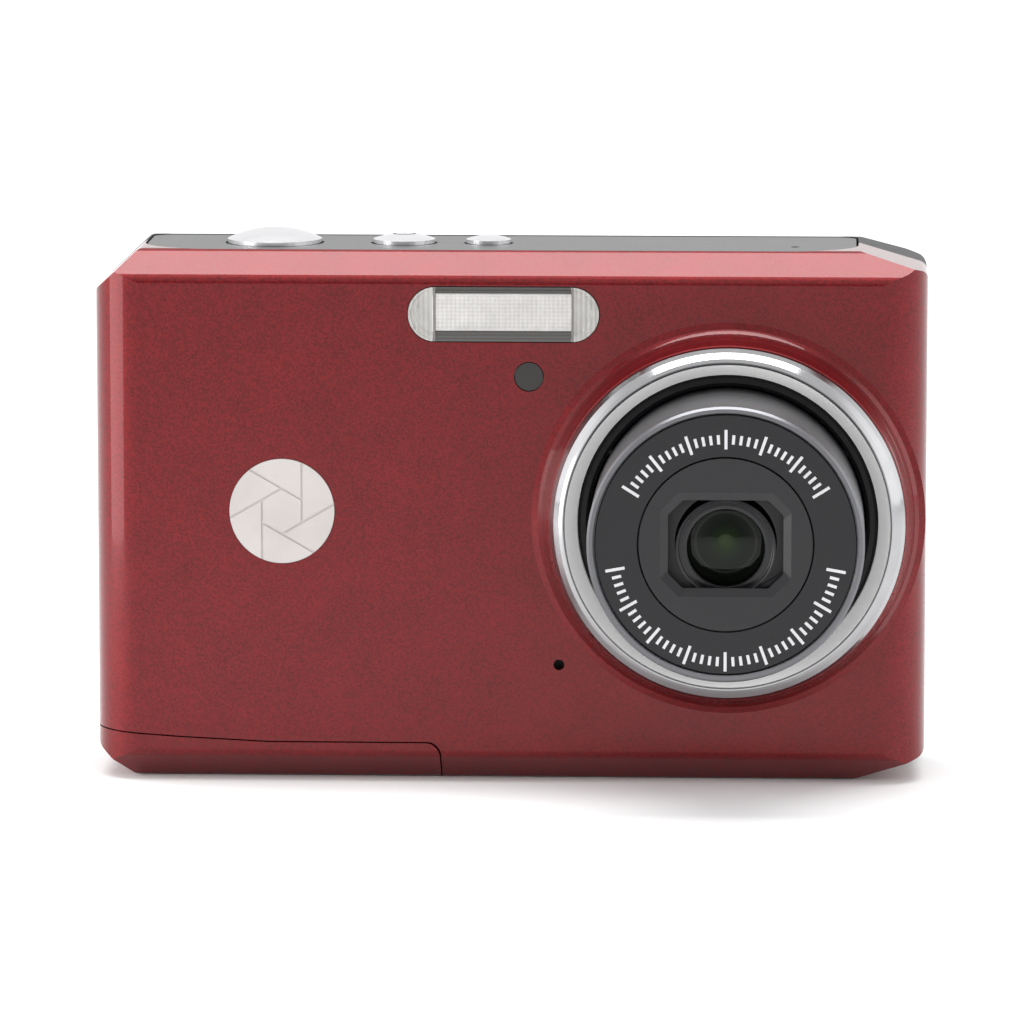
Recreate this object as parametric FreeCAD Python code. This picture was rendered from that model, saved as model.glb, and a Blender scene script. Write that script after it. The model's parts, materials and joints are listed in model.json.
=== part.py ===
"""Compact digital camera: casing, extending zoom lens, battery bay, keys and screen.

Millimetres. +Z is up, the lens looks along -Y and sits on the +X side. The origin is on the base,
halfway along the width and at the middle of the casing's thickness.
"""
import FreeCAD
import Part
import math
import os

V = FreeCAD.Vector
X_AXIS = V(1, 0, 0)
Y_AXIS = V(0, 1, 0)
Z_AXIS = V(0, 0, 1)

# ---- casing ----
HALF_WIDTH = 46.0
HEIGHT = 58.9
FRONT_Y = -11.0
BACK_Y = 11.5
WALL = 1.5
LEFT_TOP_BEVEL = (4.9, 4.6)
LEFT_BASE_BEVEL = (4.3, 3.6)
RIGHT_TOP_BEVEL = (7.5, 2.2)
RIGHT_BASE_BEVEL = (8.0, 3.0)
FRONT_TOP_BEVEL = (3.7, 2.9)
FRONT_BASE_BEVEL = (3.5, 3.0)
BACK_TOP_BEVEL = (2.2, 2.0)
BACK_BASE_BEVEL = (1.3, 1.4)
FRONT_CORNER_R = 5.0
BACK_CORNER_R = 4.5
EDGE_R = 1.2
SEAM_Y = 2.0
SEAM_GAP = 0.12

# ---- clearances ----
RUN_GAP = 0.15
PART_GAP = 0.1
LINE_GAP = 0.25

# ---- top cover ----
TOP_END_L = 5.3 - HALF_WIDTH
TOP_END_R = HALF_WIDTH - 7.9
TOP_FRONT = -7.0
TOP_BACK = 8.9
TOP_CORNER_R = 6.5
TOP_DROP = 0.1
TOP_DEPTH = 8.9
LEDGE = 1.0
LEDGE_T = 0.8
BUTTON_Y = 1.0
BUTTON_RECESS = 0.6
BUTTON_STEM_R = 1.6
BUTTON_STEM_END = HEIGHT - 1.9
SHUTTER = {"x": 19.33 - HALF_WIDTH, "r": 5.25, "rise": 1.6}
POWER = {"x": 33.8 - HALF_WIDTH, "r": 3.45, "rise": 1.0}
SCENE_KEY = {"x": 43.2 - HALF_WIDTH, "r": 2.5, "rise": 0.8}
SPEAKER_HOLE_X = HALF_WIDTH - 14.7
SPEAKER_HOLE_R = 0.5

# ---- battery door ----
DOOR_RIGHT = 38.3 - HALF_WIDTH
DOOR_SEAM_Z = 4.3
DOOR_SEAM_LEFT_Z = 5.5
DOOR_SEAM_BEND = (19.4 - HALF_WIDTH, 9.4 - HALF_WIDTH)
DOOR_CORNER_R = 1.6
DOOR_WALL = 1.2
PIN_Y = 8.2
PIN_Z = 1.6
PIN_R = 0.6
KNUCKLE_R = 1.2
LUG_R = 0.95
PIN_FIT = 0.06
PIN_ENDS = (2.4 - HALF_WIDTH, 42.6 - HALF_WIDTH)
OUTER_KNUCKLE = (2.0 - HALF_WIDTH, 4.1 - HALF_WIDTH)
OUTER_LUG = (4.4 - HALF_WIDTH, 6.4 - HALF_WIDTH)
LONG_KNUCKLE = (9.2 - HALF_WIDTH, 34.0 - HALF_WIDTH)
INNER_LUG = (38.7 - HALF_WIDTH, 43.0 - HALF_WIDTH)

# ---- cells ----
CELL_R = 7.25
CELL_LENGTH = 50.5
CELL_NUB_R = 2.75
CELL_NUB = 1.0
CELL_Y = -1.9
CELL_X = (9.4 - HALF_WIDTH, 24.2 - HALF_WIDTH)
CELL_BASE = 3.9
CELL_EDGE_R = 0.6
CELL_TOP = CELL_BASE + CELL_LENGTH
CONTACT_T = 0.3
CONTACT_HALF = 4.0
DOOR_PAD_R = (2.6, 1.2)
HOLDER_T = 0.6
HOLDER_FOOT_T = 0.8
HOLDER_BACK_Y = CELL_Y + CELL_R + 0.05
HOLDER_RIGHT_X = CELL_X[1] + CELL_R + PART_GAP
HOLDER_TOP = CELL_TOP + 2 * CONTACT_T + PART_GAP
CARD_Y = HOLDER_BACK_Y + HOLDER_T + 0.65
CARD = {"x": 3.4 - HALF_WIDTH, "y": CARD_Y, "z": 5.1, "w": 24.0, "h": 32.0, "t": 1.75}
CARD_CORNER = 4.0
SLOT_T = 0.3
SLOT_Z = (8.2, 37.6)

# ---- lens ----
LENS_X = HALF_WIDTH - 21.85
LENS_Z = 29.65
BARREL_R = 14.95
TRIM_BORE_R = BARREL_R + 1.55
TRIM_TIP_R = TRIM_BORE_R + 1.5
TRIM_TIP_Y = -17.65
COLLAR_BORE_R = TRIM_TIP_R + 0.6
COLLAR_TIP_R = COLLAR_BORE_R + 1.05
COLLAR_TIP_Y = -15.3
COLLAR_R = COLLAR_TIP_R + 1.25
TRIM_LIP_Y = -15.6
TRIM_BACK_Y = -12.0
BARREL_WALL = 1.0
BARREL_FRONT = -31.5
BARREL_LENGTH = 21.0
ZOOM_TRAVEL = 13.6
CAM_TURN = 100.0
CAM_R = BARREL_R + 0.3
CAM_WALL = 1.1
CAM_FRONT = -13.0
CAM_BACK = 3.4
FOLLOWER_R = 0.7
FOLLOWER_Y = -11.4
FOLLOWERS = 3
HOUSING_R = CAM_R + CAM_WALL + 0.3
HOUSING_WALL = 1.1
BASE_Y = 3.6
BASE_T = 1.0
SLEEVE_R = BARREL_R - BARREL_WALL - 1.05
SLEEVE_WALL = 0.8
SLEEVE_FRONT = -9.5
NAME_RING_R = (9.45, BARREL_R - 0.85)
NAME_RING_Y = -31.25
NAME_RING_T = 0.8
OPENING = (12.4, 9.55)
OPENING_CUT = 1.6
BEZEL_BEVEL = (14.1, 11.3)
BLADE_T = 0.3
BLADE_PIVOT_R = BARREL_R - 3.75
BLADE_TURN = 32.0
BLADE_LAYERS = (-30.35, -29.95)
BLADE_PIN_R = 0.5
FRONT_LENS_R = 5.4
CELL_DISC_Y = -29.5
ZOOM_CELL_Y = (-15.0, -12.0)
FOCUS_CELL_Y = (-3.4, -1.6)
ZOOM_GLASS_R = 5.0
FOCUS_GLASS_R = 4.6
SENSOR = {"w": 10.4, "h": 8.4, "front": 3.2, "back": 4.8}
SENSOR_PLATE = {"w": 18.0, "h": 16.0, "t": 0.45}

# ---- gears ----
GEAR_MODULE = 0.5
GEAR_WIDTH = 1.4
GEAR_Y = 1.4
SECTOR_TEETH = 70
SECTOR_FIRST_SPACE = 18.5
SECTOR_COUNT = 23
IDLER_TEETH = 16
PINION_TEETH = 10
BACKLASH = 0.12
IDLER_ANGLE = 205.0
PINION_ANGLE = 230.0
SHAFT_R = 0.6
MOTOR = {"r": 4.0, "front": -7.8, "length": 8.0, "boss_r": 1.4, "boss": 0.5, "shaft_r": 0.5}

# ---- front details ----
FLASH = {"x": HALF_WIDTH - 46.63, "z": HEIGHT - 6.77, "w": 21.0, "h": 6.0}
FLASH_PROUD = 0.15
REFLECTOR = {"w": 16.0, "h": 5.4, "depth": 4.0}
TUBE_R = 0.6
TUBE_LENGTH = 12.4
LAMP = {"x": HALF_WIDTH - 43.82, "z": HEIGHT - 13.64, "r": 1.55}
MIC = {"x": HALF_WIDTH - 40.49, "z": 13.21, "r": 0.6}
BADGE = {"x": 20.9 - HALF_WIDTH, "z": 30.2, "r": 5.8, "t": 0.2}
BADGE_CUTS = 6
BADGE_HOLE_R = 2.2
BADGE_CUT_W = 0.24

# ---- screen and keys ----
SCREEN = {"x": HALF_WIDTH - 33.5, "z": 29.5, "w": 60.0, "h": 46.0, "t": 1.0}
SCREEN_VIEW = (55.6, 41.8)
SCREEN_CORNER_R = 2.0
MODULE_T = 2.4
KEY_PROUD = 0.6
KEY_BACK = BACK_Y - 1.75
PAD = {"x": 15.0 - HALF_WIDTH, "z": 22.0, "r": 8.6, "bore": 4.1}
SET_R = 3.8
ROUND_KEYS = {
    "record_key": (21.4 - HALF_WIDTH, 39.5, 2.2),
    "play_key": (8.8 - HALF_WIDTH, 35.0, 2.5),
    "menu_key": (21.2 - HALF_WIDTH, 8.8, 2.5),
    "delete_key": (8.8 - HALF_WIDTH, 8.8, 2.5),
}
ROCKER = {"x": 14.5 - HALF_WIDTH, "z": HEIGHT - 9.4, "w": 15.0, "h": 4.6}
STATUS = {"x": 23.4 - HALF_WIDTH, "z": 33.0, "r": 0.7}

# ---- ports and fastening ----
PORT = {"y": 6.05, "z": 30.0, "w": 5.6, "h": 11.0}
STRAP = {"y": 6.5, "z": HEIGHT - 14.9, "w": 4.0, "h": 9.0, "depth": 2.7, "bar_r": 0.75, "wall": 0.9}
TRIPOD_X = HALF_WIDTH - 28.0
TRIPOD_R = 2.55
TRIPOD_LENGTH = 5.5
TRIPOD_BODY_R = 3.9
SCREW_HEAD_R = 1.5
SCREW_HEAD_T = 0.7
SCREW_SHANK_R = 0.7
SCREW_LENGTH = 3.2
SCREWS = [
    (V(HALF_WIDTH - 46.0, 4.6, 0), Z_AXIS),
    (V(HALF_WIDTH - 12.0, 4.6, 0), Z_AXIS),
    (V(HALF_WIDTH - 12.0, -3.6, 0), Z_AXIS),
    (V(HALF_WIDTH, 4.6, 12.0), V(-1, 0, 0)),
    (V(HALF_WIDTH, 4.6, HEIGHT - 10.9), V(-1, 0, 0)),
    (V(-HALF_WIDTH, 4.6, 16.0), X_AXIS),
]

# ---- boards and chassis ----
MAIN_BOARD_X = (34.0 - HALF_WIDTH, HALF_WIDTH - 4.0)
MAIN_BOARD_Y = 5.75
MAIN_BOARD_Z = (8.0, HEIGHT - 5.9)
MAIN_BOARD_T = 0.6
CHIP_T = 0.65
CHIPS = [(16.0, 12.0, 12.0, 10.0), (-4.0, 30.0, 9.0, 9.0), (-4.0, 44.0, 7.0, 5.0), (30.0, 48.0, 8.0, 4.0)]
KEY_BOARD_X = (4.0 - HALF_WIDTH, 27.8 - HALF_WIDTH)
KEY_BOARD_Z = (5.6, HEIGHT - 5.9)
KEY_BOARD_T = 0.35
DOME_R = 1.4
DOME_T = 0.2
TOP_BOARD_X = (15.0 - HALF_WIDTH, 47.5 - HALF_WIDTH)
TOP_BOARD_Y = (-3.5, 4.8)
TOP_BOARD_Z = HEIGHT - 3.15
TOP_BOARD_T = 0.35
SWITCH_HALF = 1.5
SWITCH_T = 0.25
CHASSIS_X = (33.0 - HALF_WIDTH, HALF_WIDTH - 5.0)
CHASSIS_T = 0.6
CHASSIS_Y = (-8.6, -6.5, 5.0)
CHASSIS_TOP = HEIGHT - 4.9
FOOT_Z = 4.9
CAPACITOR = {"x": 38.3 - HALF_WIDTH, "y": -4.2, "z": 9.0, "r": 3.9, "length": 28.0}
USB = {"x0": HALF_WIDTH - 7.4, "x1": HALF_WIDTH - 1.8, "w": 7.8, "t": 2.6, "wall": 0.3}
MICROPHONE = {"r": 2.0, "t": 1.2}
SPEAKER = {"y": -1.5, "z": HEIGHT - 5.3, "r": 5.0, "t": 2.4}


def box(x0, x1, y0, y1, z0, z1):
    """Box between two corners, given axis by axis."""
    return Part.makeBox(x1 - x0, y1 - y0, z1 - z0, V(x0, y0, z0))


def rod(radius, start, direction, length):
    """Round bar from a point along a direction."""
    return Part.makeCylinder(radius, length, start, direction)


def tube(outer, inner, start, direction, length):
    """Round tube from a point along a direction."""
    return rod(outer, start, direction, length).cut(rod(inner, start, direction, length))


def outline(points, radii, place):
    """Closed wire through flat points, each corner rounded by its radius and set in space by place."""
    count = len(points)
    entries = []
    for i, (u, v) in enumerate(points):
        before = points[i - 1]
        after = points[(i + 1) % count]
        entries.append(rounded_corner((u, v), before, after, radii[i]))
    edges = []
    for i, (start, middle, end) in enumerate(entries):
        if middle is not None:
            edges.append(Part.Arc(place(*start), place(*middle), place(*end)).toShape())
        following = entries[(i + 1) % count][0]
        edges.append(Part.LineSegment(place(*end), place(*following)).toShape())
    return Part.Wire(edges)


def rounded_corner(corner, before, after, radius):
    """Tangent points and middle of the arc that rounds a corner; no middle where it is sharp."""
    if radius == 0:
        return corner, None, corner
    back = unit(before[0] - corner[0], before[1] - corner[1])
    ahead = unit(after[0] - corner[0], after[1] - corner[1])
    half = math.acos(back[0] * ahead[0] + back[1] * ahead[1]) / 2
    reach = radius / math.tan(half)
    start = (corner[0] + back[0] * reach, corner[1] + back[1] * reach)
    end = (corner[0] + ahead[0] * reach, corner[1] + ahead[1] * reach)
    inward = unit(back[0] + ahead[0], back[1] + ahead[1])
    depth = radius / math.sin(half) - radius
    middle = (corner[0] + inward[0] * depth, corner[1] + inward[1] * depth)
    return start, middle, end


def unit(u, v):
    """Flat direction of length one."""
    size = math.hypot(u, v)
    return u / size, v / size


def on_xz(y):
    """Placer for outlines drawn in the plane of the front at depth y."""
    return lambda u, v: V(u, y, v)


def on_xy(z):
    """Placer for outlines drawn in plan at height z."""
    return lambda u, v: V(u, v, z)


def on_yz(x):
    """Placer for outlines drawn in side view at x."""
    return lambda u, v: V(x, u, v)


def slab(wire, direction):
    """Solid from a closed flat wire pushed along a direction."""
    return Part.Face(wire).extrude(direction)


def rectangle(x, z, width, height, y, depth, corner):
    """Rounded rectangle facing the front, from depth y, pushed by depth along +Y."""
    points = [
        (x - width / 2, z - height / 2),
        (x + width / 2, z - height / 2),
        (x + width / 2, z + height / 2),
        (x - width / 2, z + height / 2),
    ]
    return slab(outline(points, [corner] * 4, on_xz(y)), V(0, depth, 0))


def lens_turned(profile):
    """Solid turned about the lens axis from a closed profile of (radius, y) points."""
    points = [V(LENS_X + r, y, LENS_Z) for r, y in profile]
    face = Part.Face(Part.makePolygon(points + points[:1]))
    return face.revolve(V(LENS_X, 0, LENS_Z), Y_AXIS, 360)


def lens_tube(outer, inner, y0, y1):
    """Tube about the lens axis between two depths."""
    return tube(outer, inner, V(LENS_X, y0, LENS_Z), Y_AXIS, y1 - y0)


def lens_rod(radius, y0, y1):
    """Disc about the lens axis between two depths."""
    return rod(radius, V(LENS_X, y0, LENS_Z), Y_AXIS, y1 - y0)


def lens_point(radius, angle, y=0.0):
    """Point at a radius and an angle (degrees, anticlockwise seen from the front) about the lens."""
    turn = math.radians(angle)
    return V(LENS_X + radius * math.cos(turn), y, LENS_Z + radius * math.sin(turn))


# ---- casing ----

def casing(inset):
    """Solid form of the whole casing, drawn in by inset on every side."""
    w = HALF_WIDTH
    front = [
        (-w + LEFT_BASE_BEVEL[0], 0),
        (w - RIGHT_BASE_BEVEL[0], 0),
        (w, RIGHT_BASE_BEVEL[1]),
        (w, HEIGHT - RIGHT_TOP_BEVEL[1]),
        (w - RIGHT_TOP_BEVEL[0], HEIGHT),
        (-w + LEFT_TOP_BEVEL[0], HEIGHT),
        (-w, HEIGHT - LEFT_TOP_BEVEL[1]),
        (-w, LEFT_BASE_BEVEL[1]),
    ]
    side = [
        (FRONT_Y + FRONT_BASE_BEVEL[0], 0),
        (BACK_Y - BACK_BASE_BEVEL[0], 0),
        (BACK_Y, BACK_BASE_BEVEL[1]),
        (BACK_Y, HEIGHT - BACK_TOP_BEVEL[1]),
        (BACK_Y - BACK_TOP_BEVEL[0], HEIGHT),
        (FRONT_Y + FRONT_TOP_BEVEL[0], HEIGHT),
        (FRONT_Y, HEIGHT - FRONT_TOP_BEVEL[1]),
        (FRONT_Y, FRONT_BASE_BEVEL[1]),
    ]
    plan = [(-w, FRONT_Y), (w, FRONT_Y), (w, BACK_Y), (-w, BACK_Y)]
    plan_radii = [FRONT_CORNER_R, FRONT_CORNER_R, BACK_CORNER_R, BACK_CORNER_R]
    wires = [
        outline(front, [EDGE_R] * 8, on_xz(FRONT_Y - 1)),
        outline(side, [EDGE_R] * 8, on_yz(-w - 1)),
        outline(plan, plan_radii, on_xy(-1)),
    ]
    if inset:
        wires = [wire.makeOffset2D(-inset) for wire in wires]
    deep = V(0, BACK_Y - FRONT_Y + 2, 0)
    wide = V(2 * w + 2, 0, 0)
    tall = V(0, 0, HEIGHT + 2)
    solid = slab(wires[0], deep).common(slab(wires[1], wide))
    return solid.common(slab(wires[2], tall))


def door_zone(gap):
    """Space of the battery door, grown by gap; with a gap the heel is left square for the swing."""
    left = -HALF_WIDTH - 2
    seam = [
        (left, -2),
        (DOOR_RIGHT + gap, -2),
        (DOOR_RIGHT + gap, DOOR_SEAM_Z + gap),
        (DOOR_SEAM_BEND[0], DOOR_SEAM_Z + gap),
        (DOOR_SEAM_BEND[1], DOOR_SEAM_Z + 0.5 + gap),
        (left, DOOR_SEAM_LEFT_Z + 0.1 + gap),
    ]
    back = PIN_Y + (KNUCKLE_R + 0.4) + gap
    reach = DOOR_RIGHT + gap - left
    rim = outline(seam, [0, 0, DOOR_CORNER_R, 0, 0, 0], on_xz(FRONT_Y - 2))
    zone = slab(rim, V(0, back - FRONT_Y + 2, 0))
    zone = zone.cut(box(left, DOOR_RIGHT + gap + 1, PIN_Y, back + 1, PIN_Z, 20))
    heel = rod(back - PIN_Y, V(left, PIN_Y, PIN_Z), X_AXIS, reach)
    upper = box(left, left + reach, PIN_Y, back, PIN_Z, back)
    if gap:
        return zone.fuse(heel.common(upper))
    lower = box(left, left + reach, PIN_Y, back, -2, PIN_Z)
    return zone.cut(lower).fuse(heel.common(lower)).fuse(heel.common(upper))


def shell():
    """Casing wall, before it is split into covers and door."""
    return casing(0).cut(casing(WALL))


def top_opening(extra, z0, z1):
    """Plan form of the top cover, grown by extra, between two heights."""
    points = [
        (TOP_END_L - extra, TOP_FRONT - extra),
        (TOP_END_R + extra, TOP_FRONT - extra),
        (TOP_END_R + extra, TOP_BACK + extra),
        (TOP_END_L - extra, TOP_BACK + extra),
    ]
    corner = TOP_CORNER_R + extra
    radii = [corner, corner, 2 + extra, 2 + extra]
    return slab(outline(points, radii, on_xy(z0)), V(0, 0, z1 - z0))


def flash_outline(grow, y, depth):
    """Stadium of the flash window, grown on every side."""
    height = FLASH["h"] + 2 * grow
    width = FLASH["w"] + 2 * grow
    return rectangle(FLASH["x"], FLASH["z"], width, height, y, depth, height / 2 - 0.01)


def collar():
    """Flared round collar of the front cover round the lens."""
    waist = COLLAR_TIP_R + 0.25
    profile = [
        (COLLAR_BORE_R, FRONT_Y + WALL),
        (COLLAR_R + 0.8, FRONT_Y + WALL),
        (COLLAR_R + 0.8, FRONT_Y),
        (COLLAR_R + 0.1, FRONT_Y - 0.25),
        (COLLAR_R - 0.35, FRONT_Y - 0.8),
        (waist + 0.25, FRONT_Y - 2.0),
        (waist, FRONT_Y - 3.0),
        (COLLAR_TIP_R, COLLAR_TIP_Y + 0.2),
        (COLLAR_TIP_R - 0.2, COLLAR_TIP_Y),
        (COLLAR_BORE_R, COLLAR_TIP_Y),
    ]
    return lens_turned(profile)


def screw_holes():
    """Counterbores and clearance holes for every screw."""
    cuts = []
    for point, inward in SCREWS:
        cuts.append(rod(SCREW_HEAD_R + PART_GAP, point - inward, inward, SCREW_HEAD_T + 1.15))
        cuts.append(rod(SCREW_SHANK_R + PART_GAP, point - inward, inward, SCREW_LENGTH + 3))
    return cuts


def cut_all(solid, tools):
    """Solid with every tool taken away."""
    for tool in tools:
        solid = solid.cut(tool)
    return solid


def front_cover():
    """Painted front shell with the lens collar and every front opening."""
    solid = shell().common(box(-60, 60, -30, SEAM_Y - SEAM_GAP / 2, -5, 70))
    solid = solid.fuse(collar()).removeSplitter()
    cuts = [
        lens_rod(COLLAR_BORE_R, -30, SEAM_Y),
        flash_outline(PART_GAP, -20, 15),
        rod(LAMP["r"] + PART_GAP, V(LAMP["x"], -20, LAMP["z"]), Y_AXIS, 12),
        rod(MIC["r"], V(MIC["x"], -20, MIC["z"]), Y_AXIS, 12),
        top_opening(LINE_GAP, HEIGHT - WALL - 1, HEIGHT + 1),
        door_zone(RUN_GAP),
        rod(TRIPOD_BODY_R + PART_GAP, V(TRIPOD_X, 0, -1), Z_AXIS, 4),
        disc_on_front(BADGE["r"] + 0.05, BADGE["t"]),
    ]
    return cut_all(solid, cuts + screw_holes())


def disc_on_front(radius, depth):
    """Disc let into the front face at the badge's place."""
    return rod(radius, V(BADGE["x"], FRONT_Y - 1, BADGE["z"]), Y_AXIS, 1 + depth)


def key_outline(name, grow, y, depth):
    """Round key's bar, grown by a gap."""
    x, z, radius = ROUND_KEYS[name]
    return rod(radius + grow, V(x, y, z), Y_AXIS, depth)


def rocker_bar(grow, y, depth):
    """Bar form of the zoom rocker, grown by a gap."""
    width = ROCKER["w"] + 2 * grow
    height = ROCKER["h"] + 2 * grow
    return rectangle(ROCKER["x"], ROCKER["z"], width, height, y, depth, height / 2 - 0.01)


def rear_cover():
    """Dark rear shell with the screen window, key holes, port and strap recess."""
    solid = shell().common(box(-60, 60, SEAM_Y + SEAM_GAP / 2, 30, -5, 70))
    solid = solid.fuse(strap_pocket(STRAP["wall"]).common(casing(0)))
    inner_y = BACK_Y - WALL
    cuts = [
        rectangle(SCREEN["x"], SCREEN["z"], SCREEN["w"] + 2 * PART_GAP, SCREEN["h"] + 2 * PART_GAP,
                  BACK_Y - SCREEN["t"], 5, SCREEN_CORNER_R + PART_GAP),
        rectangle(SCREEN["x"], SCREEN["z"], SCREEN_VIEW[0], SCREEN_VIEW[1], inner_y - 1, 5, 0.5),
        rod(PAD["r"] + RUN_GAP, V(PAD["x"], inner_y - 1, PAD["z"]), Y_AXIS, 5),
        rocker_bar(RUN_GAP + 0.1, inner_y - 1, 5),
        rod(STATUS["r"] + 0.05, V(STATUS["x"], inner_y - 1, STATUS["z"]), Y_AXIS, 5),
        top_opening(LINE_GAP, HEIGHT - WALL - 1, HEIGHT + 1),
        door_zone(RUN_GAP),
        lug_pocket(),
        rod(TRIPOD_BODY_R + PART_GAP, V(TRIPOD_X, 0, -1), Z_AXIS, 4),
        port_zone(RUN_GAP),
        strap_pocket(0),
        strap_bar_rod(0.02),
    ]
    cuts += [key_outline(name, RUN_GAP, inner_y - 1, 5) for name in ROUND_KEYS]
    return cut_all(solid, cuts + screw_holes())


def lug_pocket():
    """Pocket in the rear cover's floor for the inner hinge lug and the end of the pin."""
    return box(DOOR_RIGHT - 1, INNER_LUG[1] + PART_GAP, PIN_Y - LUG_R - PART_GAP, PIN_Y + LUG_R + PART_GAP,
               PIN_Z - LUG_R - PART_GAP, CELL_BASE)


def strap_pocket(grow):
    """Recess in the left end that the wrist strap loops through, with its walls grown by grow."""
    y = STRAP["y"]
    z = STRAP["z"]
    half_w = STRAP["w"] / 2 + grow
    half_h = STRAP["h"] / 2 + grow
    depth = STRAP["depth"] + grow
    return box(-HALF_WIDTH - 1, -HALF_WIDTH + depth, y - half_w, y + half_w, z - half_h, z + half_h)


def strap_bar_rod(grow):
    """Upright bar across the strap recess, ends set in its walls."""
    half = STRAP["h"] / 2 + 0.8
    start = V(-HALF_WIDTH + 1.1, STRAP["y"], STRAP["z"] - half - grow)
    return rod(STRAP["bar_r"] + grow, start, Z_AXIS, 2 * (half + grow))


def port_zone(gap):
    """Space of the port cover in the right end wall, grown by a gap."""
    y = PORT["y"]
    z = PORT["z"]
    half_w = PORT["w"] / 2 + gap
    half_h = PORT["h"] / 2 + gap
    return box(HALF_WIDTH - 6, HALF_WIDTH + 2, y - half_w, y + half_w, z - half_h, z + half_h)


def port_cover():
    """Rubber flap that closes the port, curved as the casing is."""
    return shell().common(port_zone(0))


def top_cover():
    """Grey top plate with a ledge under the covers and the button recesses."""
    under = HEIGHT - WALL
    plate = top_opening(0, under, HEIGHT - TOP_DROP)
    ledge = top_opening(LEDGE, under - PART_GAP - LEDGE_T, under - PART_GAP)
    ledge = ledge.cut(top_opening(-LEDGE, under - 3, under))
    neck = top_opening(0, under - PART_GAP, under).cut(top_opening(-LEDGE, under - 3, under))
    inner = casing(WALL + PART_GAP)
    solid = plate.fuse(neck).fuse(ledge.common(inner)).removeSplitter()
    below = HEIGHT - TOP_DEPTH
    cuts = [rod(SPEAKER_HOLE_R, V(SPEAKER_HOLE_X, -2.0, below), Z_AXIS, 12)]
    for key in (SHUTTER, POWER, SCENE_KEY):
        recess_floor = HEIGHT - TOP_DROP - BUTTON_RECESS - button_sink(key)
        cuts.append(rod(key["r"] + RUN_GAP + 0.1, V(key["x"], BUTTON_Y, recess_floor), Z_AXIS, 5))
        cuts.append(rod(BUTTON_STEM_R + 0.06, V(key["x"], BUTTON_Y, below), Z_AXIS, 12))
    return cut_all(solid.common(casing(0.02)), cuts)


def button_sink(key):
    """Extra recess depth under a button's cap: its travel and a little air."""
    return 0.2 if key is SHUTTER else 0.1


def top_button(key):
    """Domed cap on a stem, its underside hollow on the large one for the spring."""
    floor = HEIGHT - TOP_DROP - BUTTON_RECESS
    skirt_top = HEIGHT + 0.35
    cap = rod(key["r"], V(key["x"], BUTTON_Y, floor + 0.45), Z_AXIS, skirt_top - floor - 0.45)
    dome_rise = key["rise"] - 0.35
    sphere_r = (key["r"] ** 2 + dome_rise ** 2) / (2 * dome_rise)
    sphere = Part.makeSphere(sphere_r, V(key["x"], BUTTON_Y, skirt_top + dome_rise - sphere_r))
    dome = sphere.common(rod(key["r"], V(key["x"], BUTTON_Y, skirt_top), Z_AXIS, 5))
    stem_height = skirt_top - BUTTON_STEM_END
    stem = rod(BUTTON_STEM_R, V(key["x"], BUTTON_Y, BUTTON_STEM_END), Z_AXIS, stem_height)
    solid = cap.fuse(dome).fuse(stem)
    if key is SHUTTER:
        below = HEIGHT - TOP_DEPTH
        groove = tube(4.2, 2.2, V(key["x"], BUTTON_Y, below), Z_AXIS, skirt_top - 0.2 - below)
        solid = solid.cut(groove)
    return solid


def shutter_spring():
    """Return spring round the shutter stem, three turns of round wire."""
    wire_r = 0.12
    radius = 3.2
    start = HEIGHT - TOP_DROP - BUTTON_RECESS - button_sink(SHUTTER) + wire_r
    end = HEIGHT + 0.15 - wire_r
    height = end - start
    helix = Part.makeHelix(height / 3, height, radius)
    helix.translate(V(SHUTTER["x"], BUTTON_Y, start))
    ring = Part.Wire(Part.Circle(V(SHUTTER["x"] + radius, BUTTON_Y, start), Y_AXIS, wire_r).toShape())
    return Part.Wire(helix.Edges).makePipeShell([ring], True, True)


# ---- battery door ----

def battery_door():
    """Door that wraps the front, the left end and the base, with its hinge knuckles."""
    form = casing(0)
    skin = form.cut(casing(DOOR_WALL)).common(door_zone(0))
    knuckles = []
    for x0, x1 in (OUTER_KNUCKLE, LONG_KNUCKLE):
        barrel = rod(KNUCKLE_R, V(x0, PIN_Y, PIN_Z), X_AXIS, x1 - x0)
        web = box(x0, x1, PIN_Y - KNUCKLE_R, PIN_Y + KNUCKLE_R, 0.6, PIN_Z)
        knuckles.append(barrel.fuse(web))
    for knuckle in knuckles:
        skin = skin.fuse(knuckle.common(form))
    bore = rod(PIN_R + PIN_FIT, V(-HALF_WIDTH - 4, PIN_Y, PIN_Z), X_AXIS, 60)
    lug_room = box(OUTER_LUG[0] - RUN_GAP, LONG_KNUCKLE[0], PIN_Y - KNUCKLE_R - 0.6, 12,
                   DOOR_WALL - 0.6, 10)
    return skin.cut(bore).cut(lug_room)


def door_hinge_pin():
    """Steel pin that the door turns on and slides along."""
    return rod(PIN_R, V(PIN_ENDS[0], PIN_Y, PIN_Z), X_AXIS, PIN_ENDS[1] - PIN_ENDS[0])


def hinge_lug(x0, x1):
    """Bearing block that carries the hinge pin, joined upwards to the holder."""
    eye = rod(LUG_R, V(x0, PIN_Y, PIN_Z), X_AXIS, x1 - x0)
    arm = box(x0, x1, PIN_Y - LUG_R, PIN_Y + LUG_R, PIN_Z, CELL_BASE)
    bore = rod(PIN_R + PIN_FIT, V(x0 - 1, PIN_Y, PIN_Z), X_AXIS, x1 - x0 + 2)
    return eye.fuse(arm).cut(bore)


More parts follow.
